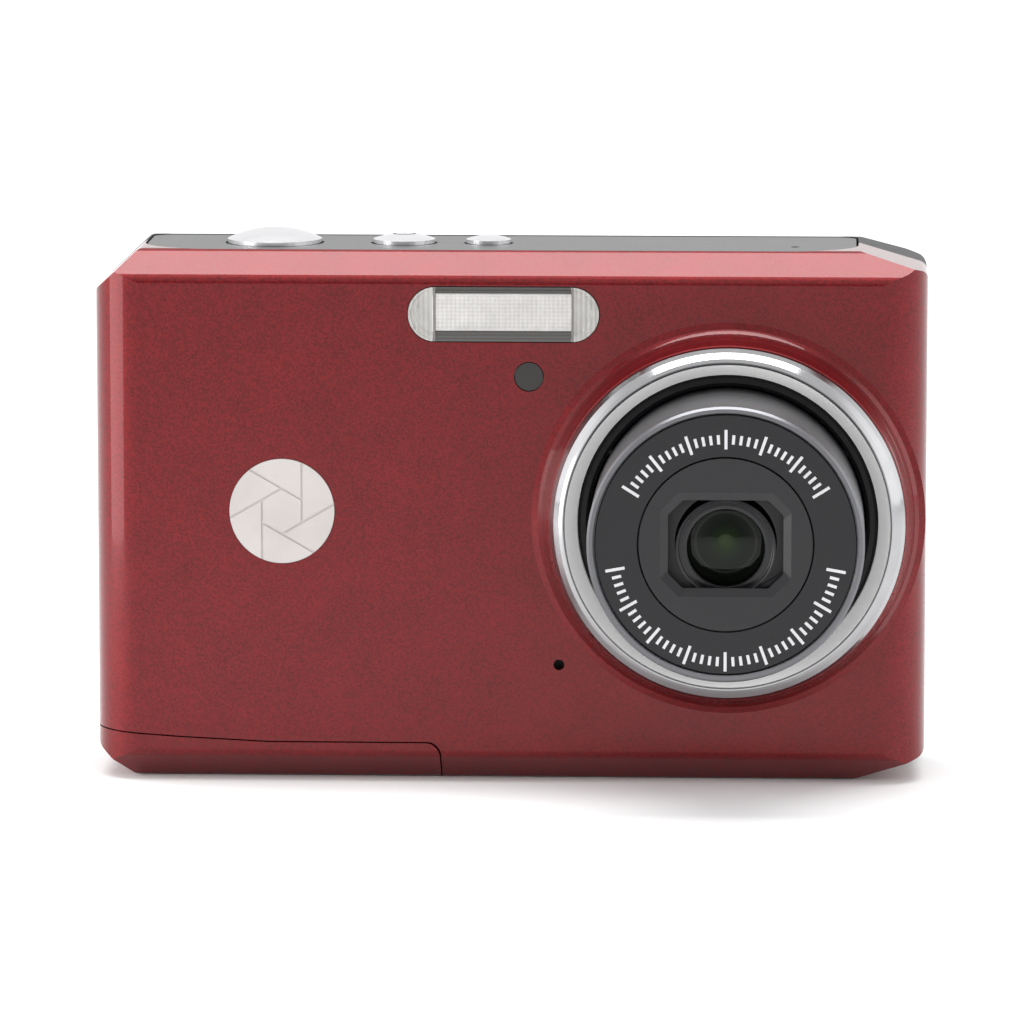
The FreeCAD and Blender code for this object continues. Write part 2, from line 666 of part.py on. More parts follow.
def battery_holder():
    """Chamber walls behind, beside and above the cells, with the hinge lugs on a foot strip."""
    left = CELL_X[0] - CELL_R + 2.5
    right = HOLDER_RIGHT_X + HOLDER_T
    back = box(left, right, HOLDER_BACK_Y, HOLDER_BACK_Y + HOLDER_T, CELL_BASE, HOLDER_TOP)
    side = box(HOLDER_RIGHT_X, right, CELL_Y - CELL_R, HOLDER_BACK_Y, CELL_BASE, HOLDER_TOP)
    roof = box(left, right, CELL_Y - CELL_R + 1, HOLDER_BACK_Y + HOLDER_T, HOLDER_TOP, HOLDER_TOP + HOLDER_T)
    foot = box(OUTER_LUG[0], INNER_LUG[1], HOLDER_BACK_Y, PIN_Y + LUG_R, CELL_BASE, CELL_BASE + HOLDER_FOOT_T)
    solid = back.fuse(side).fuse(roof).fuse(foot)
    for x0, x1 in (OUTER_LUG, INNER_LUG):
        solid = solid.fuse(hinge_lug(x0, x1))
    return solid.removeSplitter()


def cell(x, upright):
    """AA cell standing in the chamber, its button up or down."""
    body_z = CELL_BASE if upright else CELL_BASE + CELL_NUB
    nub_z = CELL_BASE + CELL_LENGTH - CELL_NUB if upright else CELL_BASE
    can = rod(CELL_R, V(x, CELL_Y, body_z), Z_AXIS, CELL_LENGTH - CELL_NUB)
    can = can.makeFillet(CELL_EDGE_R, [edge for edge in can.Edges if edge.Length > 2 * CELL_R * 3])
    return can.fuse(rod(CELL_NUB_R, V(x, CELL_Y, nub_z), Z_AXIS, CELL_NUB))


def battery_cells():
    """Both cells, standing opposite ways up."""
    return Part.makeCompound([cell(CELL_X[0], True), cell(CELL_X[1], False)])


def top_contacts():
    """Pair of contact plates above the cells."""
    plates = []
    for x in CELL_X:
        z = CELL_TOP + PART_GAP
        plates.append(box(x - CONTACT_HALF, x + CONTACT_HALF, CELL_Y - CONTACT_HALF, CELL_Y + CONTACT_HALF,
                          z, z + CONTACT_T))
    return Part.makeCompound(plates)


def door_contact():
    """Strip on the door that joins both cells, with a raised pad under each."""
    floor = DOOR_WALL + 0.05
    strip = box(CELL_X[0] - 3, CELL_X[1] + 5, CELL_Y - 3, CELL_Y + 3, floor, floor + CONTACT_T)
    for x in CELL_X:
        height = CELL_BASE - floor - 0.25
        strip = strip.fuse(Part.makeCone(DOOR_PAD_R[0], DOOR_PAD_R[1], height, V(x, CELL_Y, floor), Z_AXIS))
    return strip


def card_slot():
    """Folded metal frame that guides the card."""
    x0, x1 = CARD["x"] - 0.4, CARD["x"] + CARD["w"] + 0.7
    y0, y1 = CARD["y"] - SLOT_T, CARD["y"] + CARD["t"] + 0.35
    frame = box(x0, x1, y0, y1, SLOT_Z[0], SLOT_Z[1])
    room = box(x0 + SLOT_T, x1 - SLOT_T, y0 + SLOT_T - 0.05, y1 - SLOT_T + 0.05,
               SLOT_Z[0] - 1, SLOT_Z[1] - SLOT_T)
    return frame.cut(room)


def memory_card():
    """Card with its cut corner, seated in the slot."""
    x0, z0 = CARD["x"], CARD["z"]
    x1, z1 = x0 + CARD["w"], z0 + CARD["h"]
    points = [(x0, z0), (x1, z0), (x1, z1), (x0 + CARD_CORNER, z1), (x0, z1 - CARD_CORNER)]
    return slab(outline(points, [0.5] * 5, on_xz(CARD["y"])), V(0, CARD["t"], 0))


# ---- lens ----

def lens_trim_ring():
    """Bright ring: outer flank, rounded rim, dished face down to the barrel lip."""
    profile = [
        (TRIM_BORE_R, TRIM_BACK_Y),
        (COLLAR_BORE_R - 0.05, TRIM_BACK_Y),
        (COLLAR_BORE_R - 0.05, COLLAR_TIP_Y - 0.05),
        (COLLAR_TIP_R - 0.1, COLLAR_TIP_Y - 0.05),
        (COLLAR_TIP_R - 0.22, COLLAR_TIP_Y - 0.7),
        (COLLAR_TIP_R - 0.6, COLLAR_TIP_Y - 1.4),
        (TRIM_TIP_R + 0.45, TRIM_TIP_Y + 0.3),
        (TRIM_TIP_R + 0.1, TRIM_TIP_Y + 0.05),
        (TRIM_TIP_R - 0.15, TRIM_TIP_Y + 0.02),
        (TRIM_TIP_R - 0.4, TRIM_TIP_Y + 0.35),
        (TRIM_BORE_R + 0.1, TRIM_LIP_Y - 0.15),
        (TRIM_BORE_R, TRIM_LIP_Y),
    ]
    return lens_turned(profile)


def barrel_seal():
    """Dark ring with a rounded lip that closes the gap round the barrel."""
    inner = BARREL_R + 0.22
    outer = TRIM_BORE_R - 0.05
    profile = [
        (inner, CAM_FRONT - 0.2),
        (outer, CAM_FRONT - 0.2),
        (outer, TRIM_LIP_Y + 0.8),
        (outer - 0.35, TRIM_LIP_Y + 0.4),
        (inner + 0.4, TRIM_LIP_Y + 0.35),
        (inner, TRIM_LIP_Y + 0.7),
    ]
    return lens_turned(profile)


def lens_housing():
    """Lens base plate with the cam ring's outer tube and the inner guide sleeve."""
    plate = box(LENS_X - 19.5, LENS_X + 18.2, BASE_Y, BASE_Y + BASE_T, LENS_Z - 20.5, LENS_Z + 20.5)
    outer = lens_tube(HOUSING_R + HOUSING_WALL, HOUSING_R, TRIM_BACK_Y + 0.2, BASE_Y)
    inner = lens_tube(SLEEVE_R + SLEEVE_WALL, SLEEVE_R, SLEEVE_FRONT, BASE_Y)
    solid = plate.fuse(outer).fuse(inner)
    window = lens_tube(HOUSING_R + 4, HOUSING_R - 1, GEAR_Y - 0.4, BASE_Y)
    keep = []
    for start in (-40, 32):
        keep.append(sector(HOUSING_R + 5, start, start + 50))
    solid = solid.cut(cut_all(window, keep))
    wide, high = SENSOR["w"] / 2 + 0.3, SENSOR["h"] / 2 + 0.3
    sensor_window = box(LENS_X - wide, LENS_X + wide, 0, BASE_Y + 5, LENS_Z - high, LENS_Z + high)
    idler_shaft = rod(SHAFT_R, lens_point(idler_distance(), IDLER_ANGLE, BASE_Y - GEAR_WIDTH - 1.0), Y_AXIS,
                      GEAR_WIDTH + 1.2)
    return solid.cut(sensor_window).fuse(idler_shaft)


def sector(radius, start, end):
    """Pie slice about the lens axis between two angles, the full depth of the lens."""
    step = (end - start) / 2
    reach = radius / math.cos(math.radians(step / 2))
    points = [V(LENS_X, -30, LENS_Z)]
    for i in range(3):
        corner = lens_point(reach, start + i * step)
        points.append(V(corner.x, -30, corner.z))
    return Part.Face(Part.makePolygon(points + points[:1])).extrude(V(0, 50, 0))


def cam_ring():
    """Ring with three helical slots that drive the barrel, and a toothed sector behind."""
    teeth = gear(SECTOR_TEETH, V(LENS_X, GEAR_Y, LENS_Z), 0.0)
    arc = teeth.common(sector_of_teeth()).cut(lens_rod(CAM_R + CAM_WALL - 0.3, -30, 30))
    ring = lens_tube(CAM_R + CAM_WALL, CAM_R, CAM_FRONT, CAM_BACK).fuse(arc)
    for i in range(FOLLOWERS):
        ring = ring.cut(cam_slot(follower_angle(i)))
    return ring


def sector_of_teeth():
    """Wide slice that keeps only the toothed arc of the ring gear."""
    pitch = 360.0 / SECTOR_TEETH
    start = SECTOR_FIRST_SPACE * pitch
    middle = start + SECTOR_COUNT * pitch / 2
    return sector(30, start, middle).fuse(sector(30, middle, start + SECTOR_COUNT * pitch))


def follower_angle(index):
    """Angle of one follower pin about the lens."""
    return 30.0 + 360.0 * index / FOLLOWERS


def cam_slot(angle):
    """Helical slot that a follower pin runs in while the ring turns and the barrel moves back."""
    half = FOLLOWER_R + RUN_GAP
    middle_r = CAM_R + CAM_WALL / 2
    helix = Part.makeHelix(ZOOM_TRAVEL * 360 / CAM_TURN, ZOOM_TRAVEL, middle_r)
    corners = [
        V(CAM_R - 0.8, 0, -half),
        V(CAM_R + CAM_WALL + 0.8, 0, -half),
        V(CAM_R + CAM_WALL + 0.8, 0, half),
        V(CAM_R - 0.8, 0, half),
    ]
    sweep = Part.BRepOffsetAPI.MakePipeShell(Part.Wire(helix.Edges))
    sweep.setBiNormalMode(Z_AXIS)
    sweep.add(Part.makePolygon(corners + corners[:1]))
    sweep.build()
    sweep.makeSolid()
    slot = sweep.shape()
    for turn, height in ((0, 0), (CAM_TURN, ZOOM_TRAVEL)):
        end = rod(half, V(CAM_R - 0.8, 0, height), X_AXIS, CAM_WALL + 1.6)
        end.rotate(V(0, 0, 0), Z_AXIS, turn)
        slot = slot.fuse(end)
    slot.rotate(V(0, 0, 0), X_AXIS, -90)
    slot.rotate(V(0, 0, 0), Y_AXIS, -angle)
    slot.translate(V(LENS_X, FOLLOWER_Y, LENS_Z))
    return slot


def zoom_barrel():
    """Extending barrel with its front lip and three follower pins."""
    back = BARREL_FRONT + BARREL_LENGTH
    inner = BARREL_R - BARREL_WALL
    lip = NAME_RING_R[1] + PART_GAP
    shelf_y = NAME_RING_Y + NAME_RING_T
    profile = [
        (BARREL_R, BARREL_FRONT + 0.3),
        (BARREL_R - 0.25, BARREL_FRONT),
        (lip + 0.12, BARREL_FRONT),
        (lip, BARREL_FRONT + 0.15),
        (lip, shelf_y),
        (inner, shelf_y),
        (inner, back),
        (BARREL_R, back),
    ]
    solid = lens_turned(profile)
    for i in range(FOLLOWERS):
        start = lens_point(BARREL_R - 0.6, follower_angle(i), FOLLOWER_Y)
        turn = math.radians(follower_angle(i))
        outward = V(math.cos(turn), 0, math.sin(turn))
        solid = solid.fuse(rod(FOLLOWER_R, start, outward, CAM_R + CAM_WALL - 0.1 - BARREL_R + 0.6))
    return solid


def name_ring():
    """Flat ring round the bezel on the barrel's front."""
    inner, outer = NAME_RING_R
    profile = [
        (inner, NAME_RING_Y + NAME_RING_T),
        (outer, NAME_RING_Y + NAME_RING_T),
        (outer, NAME_RING_Y + 0.1),
        (outer - 0.1, NAME_RING_Y),
        (inner + 0.1, NAME_RING_Y),
        (inner, NAME_RING_Y + 0.1),
    ]
    return lens_turned(profile)


def cut_corner_rectangle(width, height, corner, y, depth, taper):
    """Rectangle with cut corners about the lens, its far end smaller by taper all round."""
    wires = []
    for shrink, at in ((0, y), (taper, y + depth)):
        w = width / 2 - shrink
        h = height / 2 - shrink
        c = corner
        points = [(-w + c, -h), (w - c, -h), (w, -h + c), (w, h - c),
                  (w - c, h), (-w + c, h), (-w, h - c), (-w, -h + c)]
        moved = [(LENS_X + u, LENS_Z + v) for u, v in points]
        wires.append(outline(moved, [0.5] * 8, on_xz(at)))
    return Part.makeLoft(wires, True, True)


def lens_bezel():
    """Disc inside the name ring with the bevelled opening that the blades close."""
    disc = lens_rod(NAME_RING_R[0] - PART_GAP, NAME_RING_Y - 0.1, NAME_RING_Y + NAME_RING_T)
    taper = (BEZEL_BEVEL[0] - OPENING[0]) / 2
    throat = cut_corner_rectangle(OPENING[0], OPENING[1], OPENING_CUT, NAME_RING_Y - 1, 3, 0)
    bevel = cut_corner_rectangle(BEZEL_BEVEL[0], BEZEL_BEVEL[1], OPENING_CUT + 0.4,
                                 NAME_RING_Y - 0.1, 0.5, taper)
    return disc.cut(throat).cut(bevel)


def blade(side, y):
    """Barrier blade at rest beside the opening; side is +1 above, -1 below."""
    limit = lens_rod(BARREL_R - BARREL_WALL - 0.65, y, y + BLADE_T)
    pivot = V(LENS_X - side * BLADE_PIVOT_R, y, LENS_Z)
    keep = box(0, 40, 0, BLADE_T, 0, 30)
    keep.rotate(V(0, 0, 0), Y_AXIS, -BLADE_TURN)
    keep.translate(V(-BLADE_PIVOT_R, 0, 0))
    if side < 0:
        keep.rotate(V(0, 0, 0), Y_AXIS, 180)
    keep.translate(V(LENS_X, y, LENS_Z))
    hub = rod(BLADE_PIN_R + 0.9, pivot, Y_AXIS, BLADE_T)
    bore = rod(BLADE_PIN_R + 0.05, pivot - V(0, 1, 0), Y_AXIS, 3)
    return limit.common(keep).fuse(hub).cut(bore)


def lens_cell():
    """Front lens holder: disc with stepped rings, blade pins and a mounting tube."""
    rim = BARREL_R - BARREL_WALL - 0.05
    disc = lens_tube(rim, FRONT_LENS_R + 0.1, CELL_DISC_Y, CELL_DISC_Y + 0.8)
    collar_ring = lens_tube(FRONT_LENS_R + 1.2, FRONT_LENS_R + 0.1, CELL_DISC_Y, CELL_DISC_Y + 6)
    skirt = lens_tube(rim, rim - 1.0, CELL_DISC_Y, CELL_DISC_Y + 6)
    back_ring = lens_tube(rim, 5.0, CELL_DISC_Y + 5, CELL_DISC_Y + 6)
    solid = disc.fuse(collar_ring).fuse(skirt).fuse(back_ring)
    for side in (-1, 1):
        start = V(LENS_X - side * BLADE_PIVOT_R, BLADE_LAYERS[0] - 0.05, LENS_Z)
        solid = solid.fuse(rod(BLADE_PIN_R, start, Y_AXIS, CELL_DISC_Y - BLADE_LAYERS[0] + 0.3))
    return solid


def front_lens():
    """Front glass, both faces domed."""
    disc = lens_rod(FRONT_LENS_R, CELL_DISC_Y - 0.1, CELL_DISC_Y + 3.6)
    ball = Part.makeSphere(9.0, V(LENS_X, CELL_DISC_Y + 8.85, LENS_Z))
    return disc.common(ball)


def stepped_cell(y0, y1, glass_r):
    """Moving lens holder: a disc with a thick hub, open for its glass."""
    outer = SLEEVE_R - 0.2
    disc = lens_tube(outer, glass_r, y0, y0 + 0.8)
    hub = lens_tube(glass_r + 1.4, glass_r, y0, y1)
    rim = lens_tube(outer, outer - 0.9, y0, y1)
    return disc.fuse(hub).fuse(rim)


def biconvex(y0, y1, radius):
    """Biconvex lens held between two depths."""
    middle = (y0 + y1) / 2
    half = (y1 - y0) / 2
    edge = half * 0.45
    ball_r = (radius ** 2 + (half - edge) ** 2) / (2 * (half - edge))
    first = Part.makeSphere(ball_r, V(LENS_X, middle + ball_r - half, LENS_Z))
    second = Part.makeSphere(ball_r, V(LENS_X, middle - ball_r + half, LENS_Z))
    return first.common(second).common(lens_rod(radius, y0 - 1, y1 + 1))


def image_sensor():
    """Sensor package with its cover glass, on a small plate behind the lens base."""
    front, back = SENSOR["front"], SENSOR["back"]
    package = rectangle(LENS_X, LENS_Z, SENSOR["w"], SENSOR["h"], front, back - front, 0.2)
    plate = rectangle(LENS_X, LENS_Z, SENSOR_PLATE["w"], SENSOR_PLATE["h"], back - 0.05,
                      SENSOR_PLATE["t"], 1.0)
    return package.fuse(plate)


# ---- gears ----

def idler_distance():
    """Distance from the lens axis to the idler's axis."""
    return GEAR_MODULE * (SECTOR_TEETH + IDLER_TEETH) / 2


def pinion_distance():
    """Distance from the idler's axis to the pinion's axis."""
    return GEAR_MODULE * (IDLER_TEETH + PINION_TEETH) / 2


def idler_centre():
    """Idler axis, seen from the front."""
    return lens_point(idler_distance(), IDLER_ANGLE, GEAR_Y)


def pinion_centre():
    """Pinion axis, seen from the front."""
    centre = idler_centre()
    turn = math.radians(PINION_ANGLE)
    return centre + V(pinion_distance() * math.cos(turn), 0, pinion_distance() * math.sin(turn))


def gear(teeth, centre, phase):
    """Spur gear about +Y; a tooth points along +X when phase (degrees) is zero."""
    pitch_r = GEAR_MODULE * teeth / 2
    tip_r = pitch_r + 0.8 * GEAR_MODULE
    root_r = pitch_r - 1.1 * GEAR_MODULE
    half_at_pitch = math.pi / (2 * teeth) - BACKLASH / (2 * pitch_r)
    lean = math.tan(math.radians(20))
    points = []
    for i in range(teeth):
        middle = math.radians(phase) + 2 * math.pi * i / teeth
        spread = [
            (root_r, -(half_at_pitch + (pitch_r - root_r) * lean / pitch_r)),
            (tip_r, -(half_at_pitch - (tip_r - pitch_r) * lean * 1.35 / pitch_r)),
            (tip_r, half_at_pitch - (tip_r - pitch_r) * lean * 1.35 / pitch_r),
            (root_r, half_at_pitch + (pitch_r - root_r) * lean / pitch_r),
        ]
        for radius, offset in spread:
            angle = middle + offset
            points.append(centre + V(radius * math.cos(angle), 0, radius * math.sin(angle)))
    return Part.Face(Part.makePolygon(points + points[:1])).extrude(V(0, GEAR_WIDTH, 0))


def mesh_phase(teeth, own_direction, mate_teeth, mate_phase):
    """Phase that puts a tooth space of one gear on the mate's tooth along the line of centres."""
    mate_pitch = 360.0 / mate_teeth
    offset = ((own_direction + 180.0 - mate_phase) % mate_pitch) / mate_pitch
    own_pitch = 360.0 / teeth
    return own_direction + own_pitch * (0.5 + offset)


def idler_phase():
    """Turn of the idler that meshes it with the cam ring's sector."""
    return mesh_phase(IDLER_TEETH, IDLER_ANGLE + 180.0, SECTOR_TEETH, 0.0)


def idler_gear():
    """Idler between the motor pinion and the cam ring's sector."""
    centre = idler_centre()
    bore = rod(SHAFT_R + 0.05, centre - V(0, 5, 0), Y_AXIS, 10)
    return gear(IDLER_TEETH, centre, idler_phase()).cut(bore)


def motor_pinion():
    """Pinion on the zoom motor's shaft."""
    centre = pinion_centre()
    shaft = rod(MOTOR["shaft_r"], centre - V(0, 3.0, 0), Y_AXIS, 3.2)
    phase = mesh_phase(PINION_TEETH, PINION_ANGLE + 180.0, IDLER_TEETH, idler_phase())
    return gear(PINION_TEETH, centre, phase).fuse(shaft)


def zoom_motor():
    """Zoom motor: can, end boss and two terminals, bored for the pinion's shaft."""
    centre = pinion_centre()
    back = MOTOR["front"] + MOTOR["length"]
    can = rod(MOTOR["r"], V(centre.x, MOTOR["front"], centre.z), Y_AXIS, MOTOR["length"])
    boss = rod(MOTOR["boss_r"], V(centre.x, back, centre.z), Y_AXIS, MOTOR["boss"])
    bore = rod(MOTOR["shaft_r"] + 0.05, V(centre.x, back - 2.6, centre.z), Y_AXIS, 4)
    return can.fuse(boss).cut(bore)


# ---- electronics and chassis ----

def main_board():
    """Main circuit board behind the lens, with its chips and connectors."""
    back = MAIN_BOARD_Y + MAIN_BOARD_T
    board = box(MAIN_BOARD_X[0], MAIN_BOARD_X[1], MAIN_BOARD_Y, back, MAIN_BOARD_Z[0], MAIN_BOARD_Z[1])
    for x, z, width, height in CHIPS:
        board = board.fuse(rectangle(x, z, width, height, back, CHIP_T, 0.2))
    notch = USB["w"] / 2 + 0.6
    return board.cut(box(USB["x0"] - 0.4, HALF_WIDTH, MAIN_BOARD_Y - 1, back + 2,
                         PORT["z"] - notch, PORT["z"] + notch))


def chassis():
    """Folded steel frame: upright between battery bay and lens, foot under the lens."""
    x0, x1 = CHASSIS_X
    front, foot_front, back = CHASSIS_Y
    upright = box(x0, x0 + CHASSIS_T, front, back, FOOT_Z, CHASSIS_TOP)
    foot = box(x0, x1, foot_front, back, FOOT_Z, FOOT_Z + CHASSIS_T)
    cuts = [rod(TRIPOD_BODY_R + PART_GAP, V(TRIPOD_X, 0, 0), Z_AXIS, TRIPOD_LENGTH + 3)]
    return cut_all(upright.fuse(foot), cuts + screw_holes())


def tripod_socket():
    """Threaded insert with a flange above the base wall."""
    body = rod(TRIPOD_BODY_R, V(TRIPOD_X, 0, 0.1), Z_AXIS, TRIPOD_LENGTH + 0.9)
    flange = rod(TRIPOD_BODY_R + 2, V(TRIPOD_X, 0, 3.0), Z_AXIS, 0.8)
    return body.fuse(flange).cut(rod(TRIPOD_R, V(TRIPOD_X, 0, 0), Z_AXIS, TRIPOD_LENGTH + 0.1))


def flash_window():
    """Clear stadium window, its front edge eased."""
    solid = flash_outline(0, FRONT_Y - FLASH_PROUD, WALL + FLASH_PROUD - 0.1)
    front_edges = [edge for edge in solid.Edges if edge.BoundBox.YMax < FRONT_Y - FLASH_PROUD + 0.01]
    return solid.makeChamfer(0.25, front_edges)


def flash_reflector():
    """Bright trough behind the window, open to the front."""
    x = FLASH["x"]
    z = FLASH["z"]
    y0 = FRONT_Y + WALL
    wide, high = REFLECTOR["w"], REFLECTOR["h"]
    body = rectangle(x, z, wide, high, y0, REFLECTOR["depth"], 0.4)
    mouth = (wide - 1.6, high - 1.2, y0 - 0.01)
    floor = (wide - 3, high - 3.8, y0 + REFLECTOR["depth"] - 0.6)
    rows = []
    for width, height, y in (mouth, floor):
        points = [(x - width / 2, z - height / 2), (x + width / 2, z - height / 2),
                  (x + width / 2, z + height / 2), (x - width / 2, z + height / 2)]
        rows.append(outline(points, [0.3] * 4, on_xz(y)))
    return body.cut(Part.makeLoft(rows, True, True))


def flash_tube():
    """Glass flash tube in the bottom of the reflector."""
    return rod(TUBE_R, V(FLASH["x"] - TUBE_LENGTH / 2, FRONT_Y + WALL + 2.3, FLASH["z"]), X_AXIS, TUBE_LENGTH)


def flash_capacitor():
    """Storage capacitor of the flash, standing beside the cell chamber."""
    return rod(CAPACITOR["r"], V(CAPACITOR["x"], CAPACITOR["y"], CAPACITOR["z"]), Z_AXIS, CAPACITOR["length"])


def status_lamp():
    """Light guide of the status lamp, flush with the rear."""
    return rod(STATUS["r"], V(STATUS["x"], BACK_Y - WALL - 0.4, STATUS["z"]), Y_AXIS, WALL + 0.4)


def lamp_window():
    """Focus lamp lens with a domed front."""
    x, z, r = LAMP["x"], LAMP["z"], LAMP["r"]
    solid = rod(r, V(x, FRONT_Y + 0.1, z), Y_AXIS, 2.2)
    return solid.fuse(rod(r + 0.6, V(x, FRONT_Y + WALL + 0.05, z), Y_AXIS, 0.75))


def badge():
    """Disc let into the front, with six fine cuts like an iris."""
    disc = rod(BADGE["r"], V(BADGE["x"], FRONT_Y - 0.1, BADGE["z"]), Y_AXIS, BADGE["t"] + 0.1)
    centre = V(BADGE["x"], FRONT_Y - 0.1, BADGE["z"])
    for i in range(BADGE_CUTS):
        groove = box(BADGE_HOLE_R - BADGE_CUT_W / 2, BADGE_HOLE_R + BADGE_CUT_W / 2, -0.5, 0.12,
                     -BADGE_HOLE_R * math.tan(math.pi / BADGE_CUTS), 2 * BADGE["r"])
        groove.rotate(V(0, 0, 0), Y_AXIS, 360 / BADGE_CUTS * i)
        groove.translate(centre)
        disc = disc.cut(groove)
    return disc


def screw(point, inward):
    """Countersunk-style case screw with a cross recess."""
    head_start = point + inward * 0.1
    head = rod(SCREW_HEAD_R, head_start, inward, SCREW_HEAD_T)
    shank = rod(SCREW_SHANK_R, head_start, inward, SCREW_LENGTH)
    solid = head.fuse(shank)
    for wide, high in ((1.7, 0.35), (0.35, 1.7)):
        half = V(wide / 2, wide / 2, high / 2)
        if abs(inward.z) > 0.5:
            half = V(wide / 2, high / 2, 0.3)
        if abs(inward.x) > 0.5:
            half = V(0.3, wide / 2, high / 2)
        corner = head_start - half
        solid = solid.cut(Part.makeBox(2 * half.x, 2 * half.y, 2 * half.z, corner))
    return solid


def screws():
    """All case screws as one group."""
    return Part.makeCompound([screw(point, inward) for point, inward in SCREWS])


def screen_window():
    """Screen glass let into the rear cover."""
    return rectangle(SCREEN["x"], SCREEN["z"], SCREEN["w"], SCREEN["h"], BACK_Y - SCREEN["t"] + 0.02,
                     SCREEN["t"] - 0.07, SCREEN_CORNER_R)


def screen_module():
    """Screen panel behind the rear cover's wall."""
    return rectangle(SCREEN["x"], SCREEN["z"], SCREEN["w"] - 2, SCREEN["h"] - 2,
                     BACK_Y - WALL - 0.1 - MODULE_T, MODULE_T, 0.5)


def round_key(name):
    """Round rear key with an eased edge."""
    return ease_back(key_outline(name, 0, KEY_BACK, BACK_Y + KEY_PROUD - KEY_BACK))


def ease_back(solid, size=0.25):
    """Chamfer the rearmost edges of a key."""
    limit = solid.BoundBox.YMax - 0.01
    return solid.makeChamfer(size, [edge for edge in solid.Edges if edge.BoundBox.YMin > limit])


def direction_pad():
    """Ring-shaped four-way pad."""
    length = BACK_Y + KEY_PROUD - KEY_BACK
    ring = tube(PAD["r"], PAD["bore"], V(PAD["x"], KEY_BACK, PAD["z"]), Y_AXIS, length)
    return ease_back(ring, 0.3)


def set_key():
    """Key in the middle of the pad."""
    return ease_back(rod(SET_R, V(PAD["x"], KEY_BACK, PAD["z"]), Y_AXIS, BACK_Y + KEY_PROUD - KEY_BACK))


def zoom_rocker():
    """Two-way zoom rocker on the rear, on a central rib."""
    bar = ease_back(rocker_bar(0, BACK_Y - WALL + 0.55, WALL - 0.55 + KEY_PROUD))
    rib = box(ROCKER["x"] - 0.5, ROCKER["x"] + 0.5, KEY_BACK, BACK_Y - 0.5,
              ROCKER["z"] - 1.5, ROCKER["z"] + 1.5)
    return bar.fuse(rib)


def key_board():
    """Board under the rear keys with a dome below each."""
    back = KEY_BACK - 0.55
    board = box(KEY_BOARD_X[0], KEY_BOARD_X[1], back - KEY_BOARD_T, back, KEY_BOARD_Z[0], KEY_BOARD_Z[1])
    for x, z, _ in list(ROUND_KEYS.values()) + [(PAD["x"], PAD["z"], 0)]:
        board = board.fuse(rod(DOME_R, V(x, back, z), Y_AXIS, DOME_T))
    return board


def top_board():
    """Board under the top buttons with three switches."""
    top = TOP_BOARD_Z + TOP_BOARD_T
    board = box(TOP_BOARD_X[0], TOP_BOARD_X[1], TOP_BOARD_Y[0], TOP_BOARD_Y[1], TOP_BOARD_Z, top)
    for key in (SHUTTER, POWER, SCENE_KEY):
        board = board.fuse(box(key["x"] - SWITCH_HALF, key["x"] + SWITCH_HALF, BUTTON_Y - SWITCH_HALF,
                               BUTTON_Y + SWITCH_HALF, top, top + SWITCH_T))
    return board


def usb_connector():
    """Metal socket shell behind the port cover."""
    y, z = PORT["y"], PORT["z"]
    wide, thick, wall = USB["w"] / 2, USB["t"] / 2, USB["wall"]
    metal = box(USB["x0"], USB["x1"], y - thick, y + thick, z - wide, z + wide)
    return metal.cut(box(USB["x0"] + 1, USB["x1"] + 1, y - thick + wall, y + thick - wall,
                         z - wide + wall, z + wide - wall))


def sound_units():
    """Microphone capsule behind its hole and speaker under the top cover."""
    microphone = rod(MICROPHONE["r"], V(MIC["x"], FRONT_Y + WALL + 0.05, MIC["z"]), Y_AXIS, MICROPHONE["t"])
    speaker = rod(SPEAKER["r"], V(SPEAKER_HOLE_X, SPEAKER["y"], SPEAKER["z"]), Z_AXIS, SPEAKER["t"])
    return Part.makeCompound([microphone, speaker])


def strap_bar():
    """Steel bar that the strap loops round."""
    return strap_bar_rod(0)


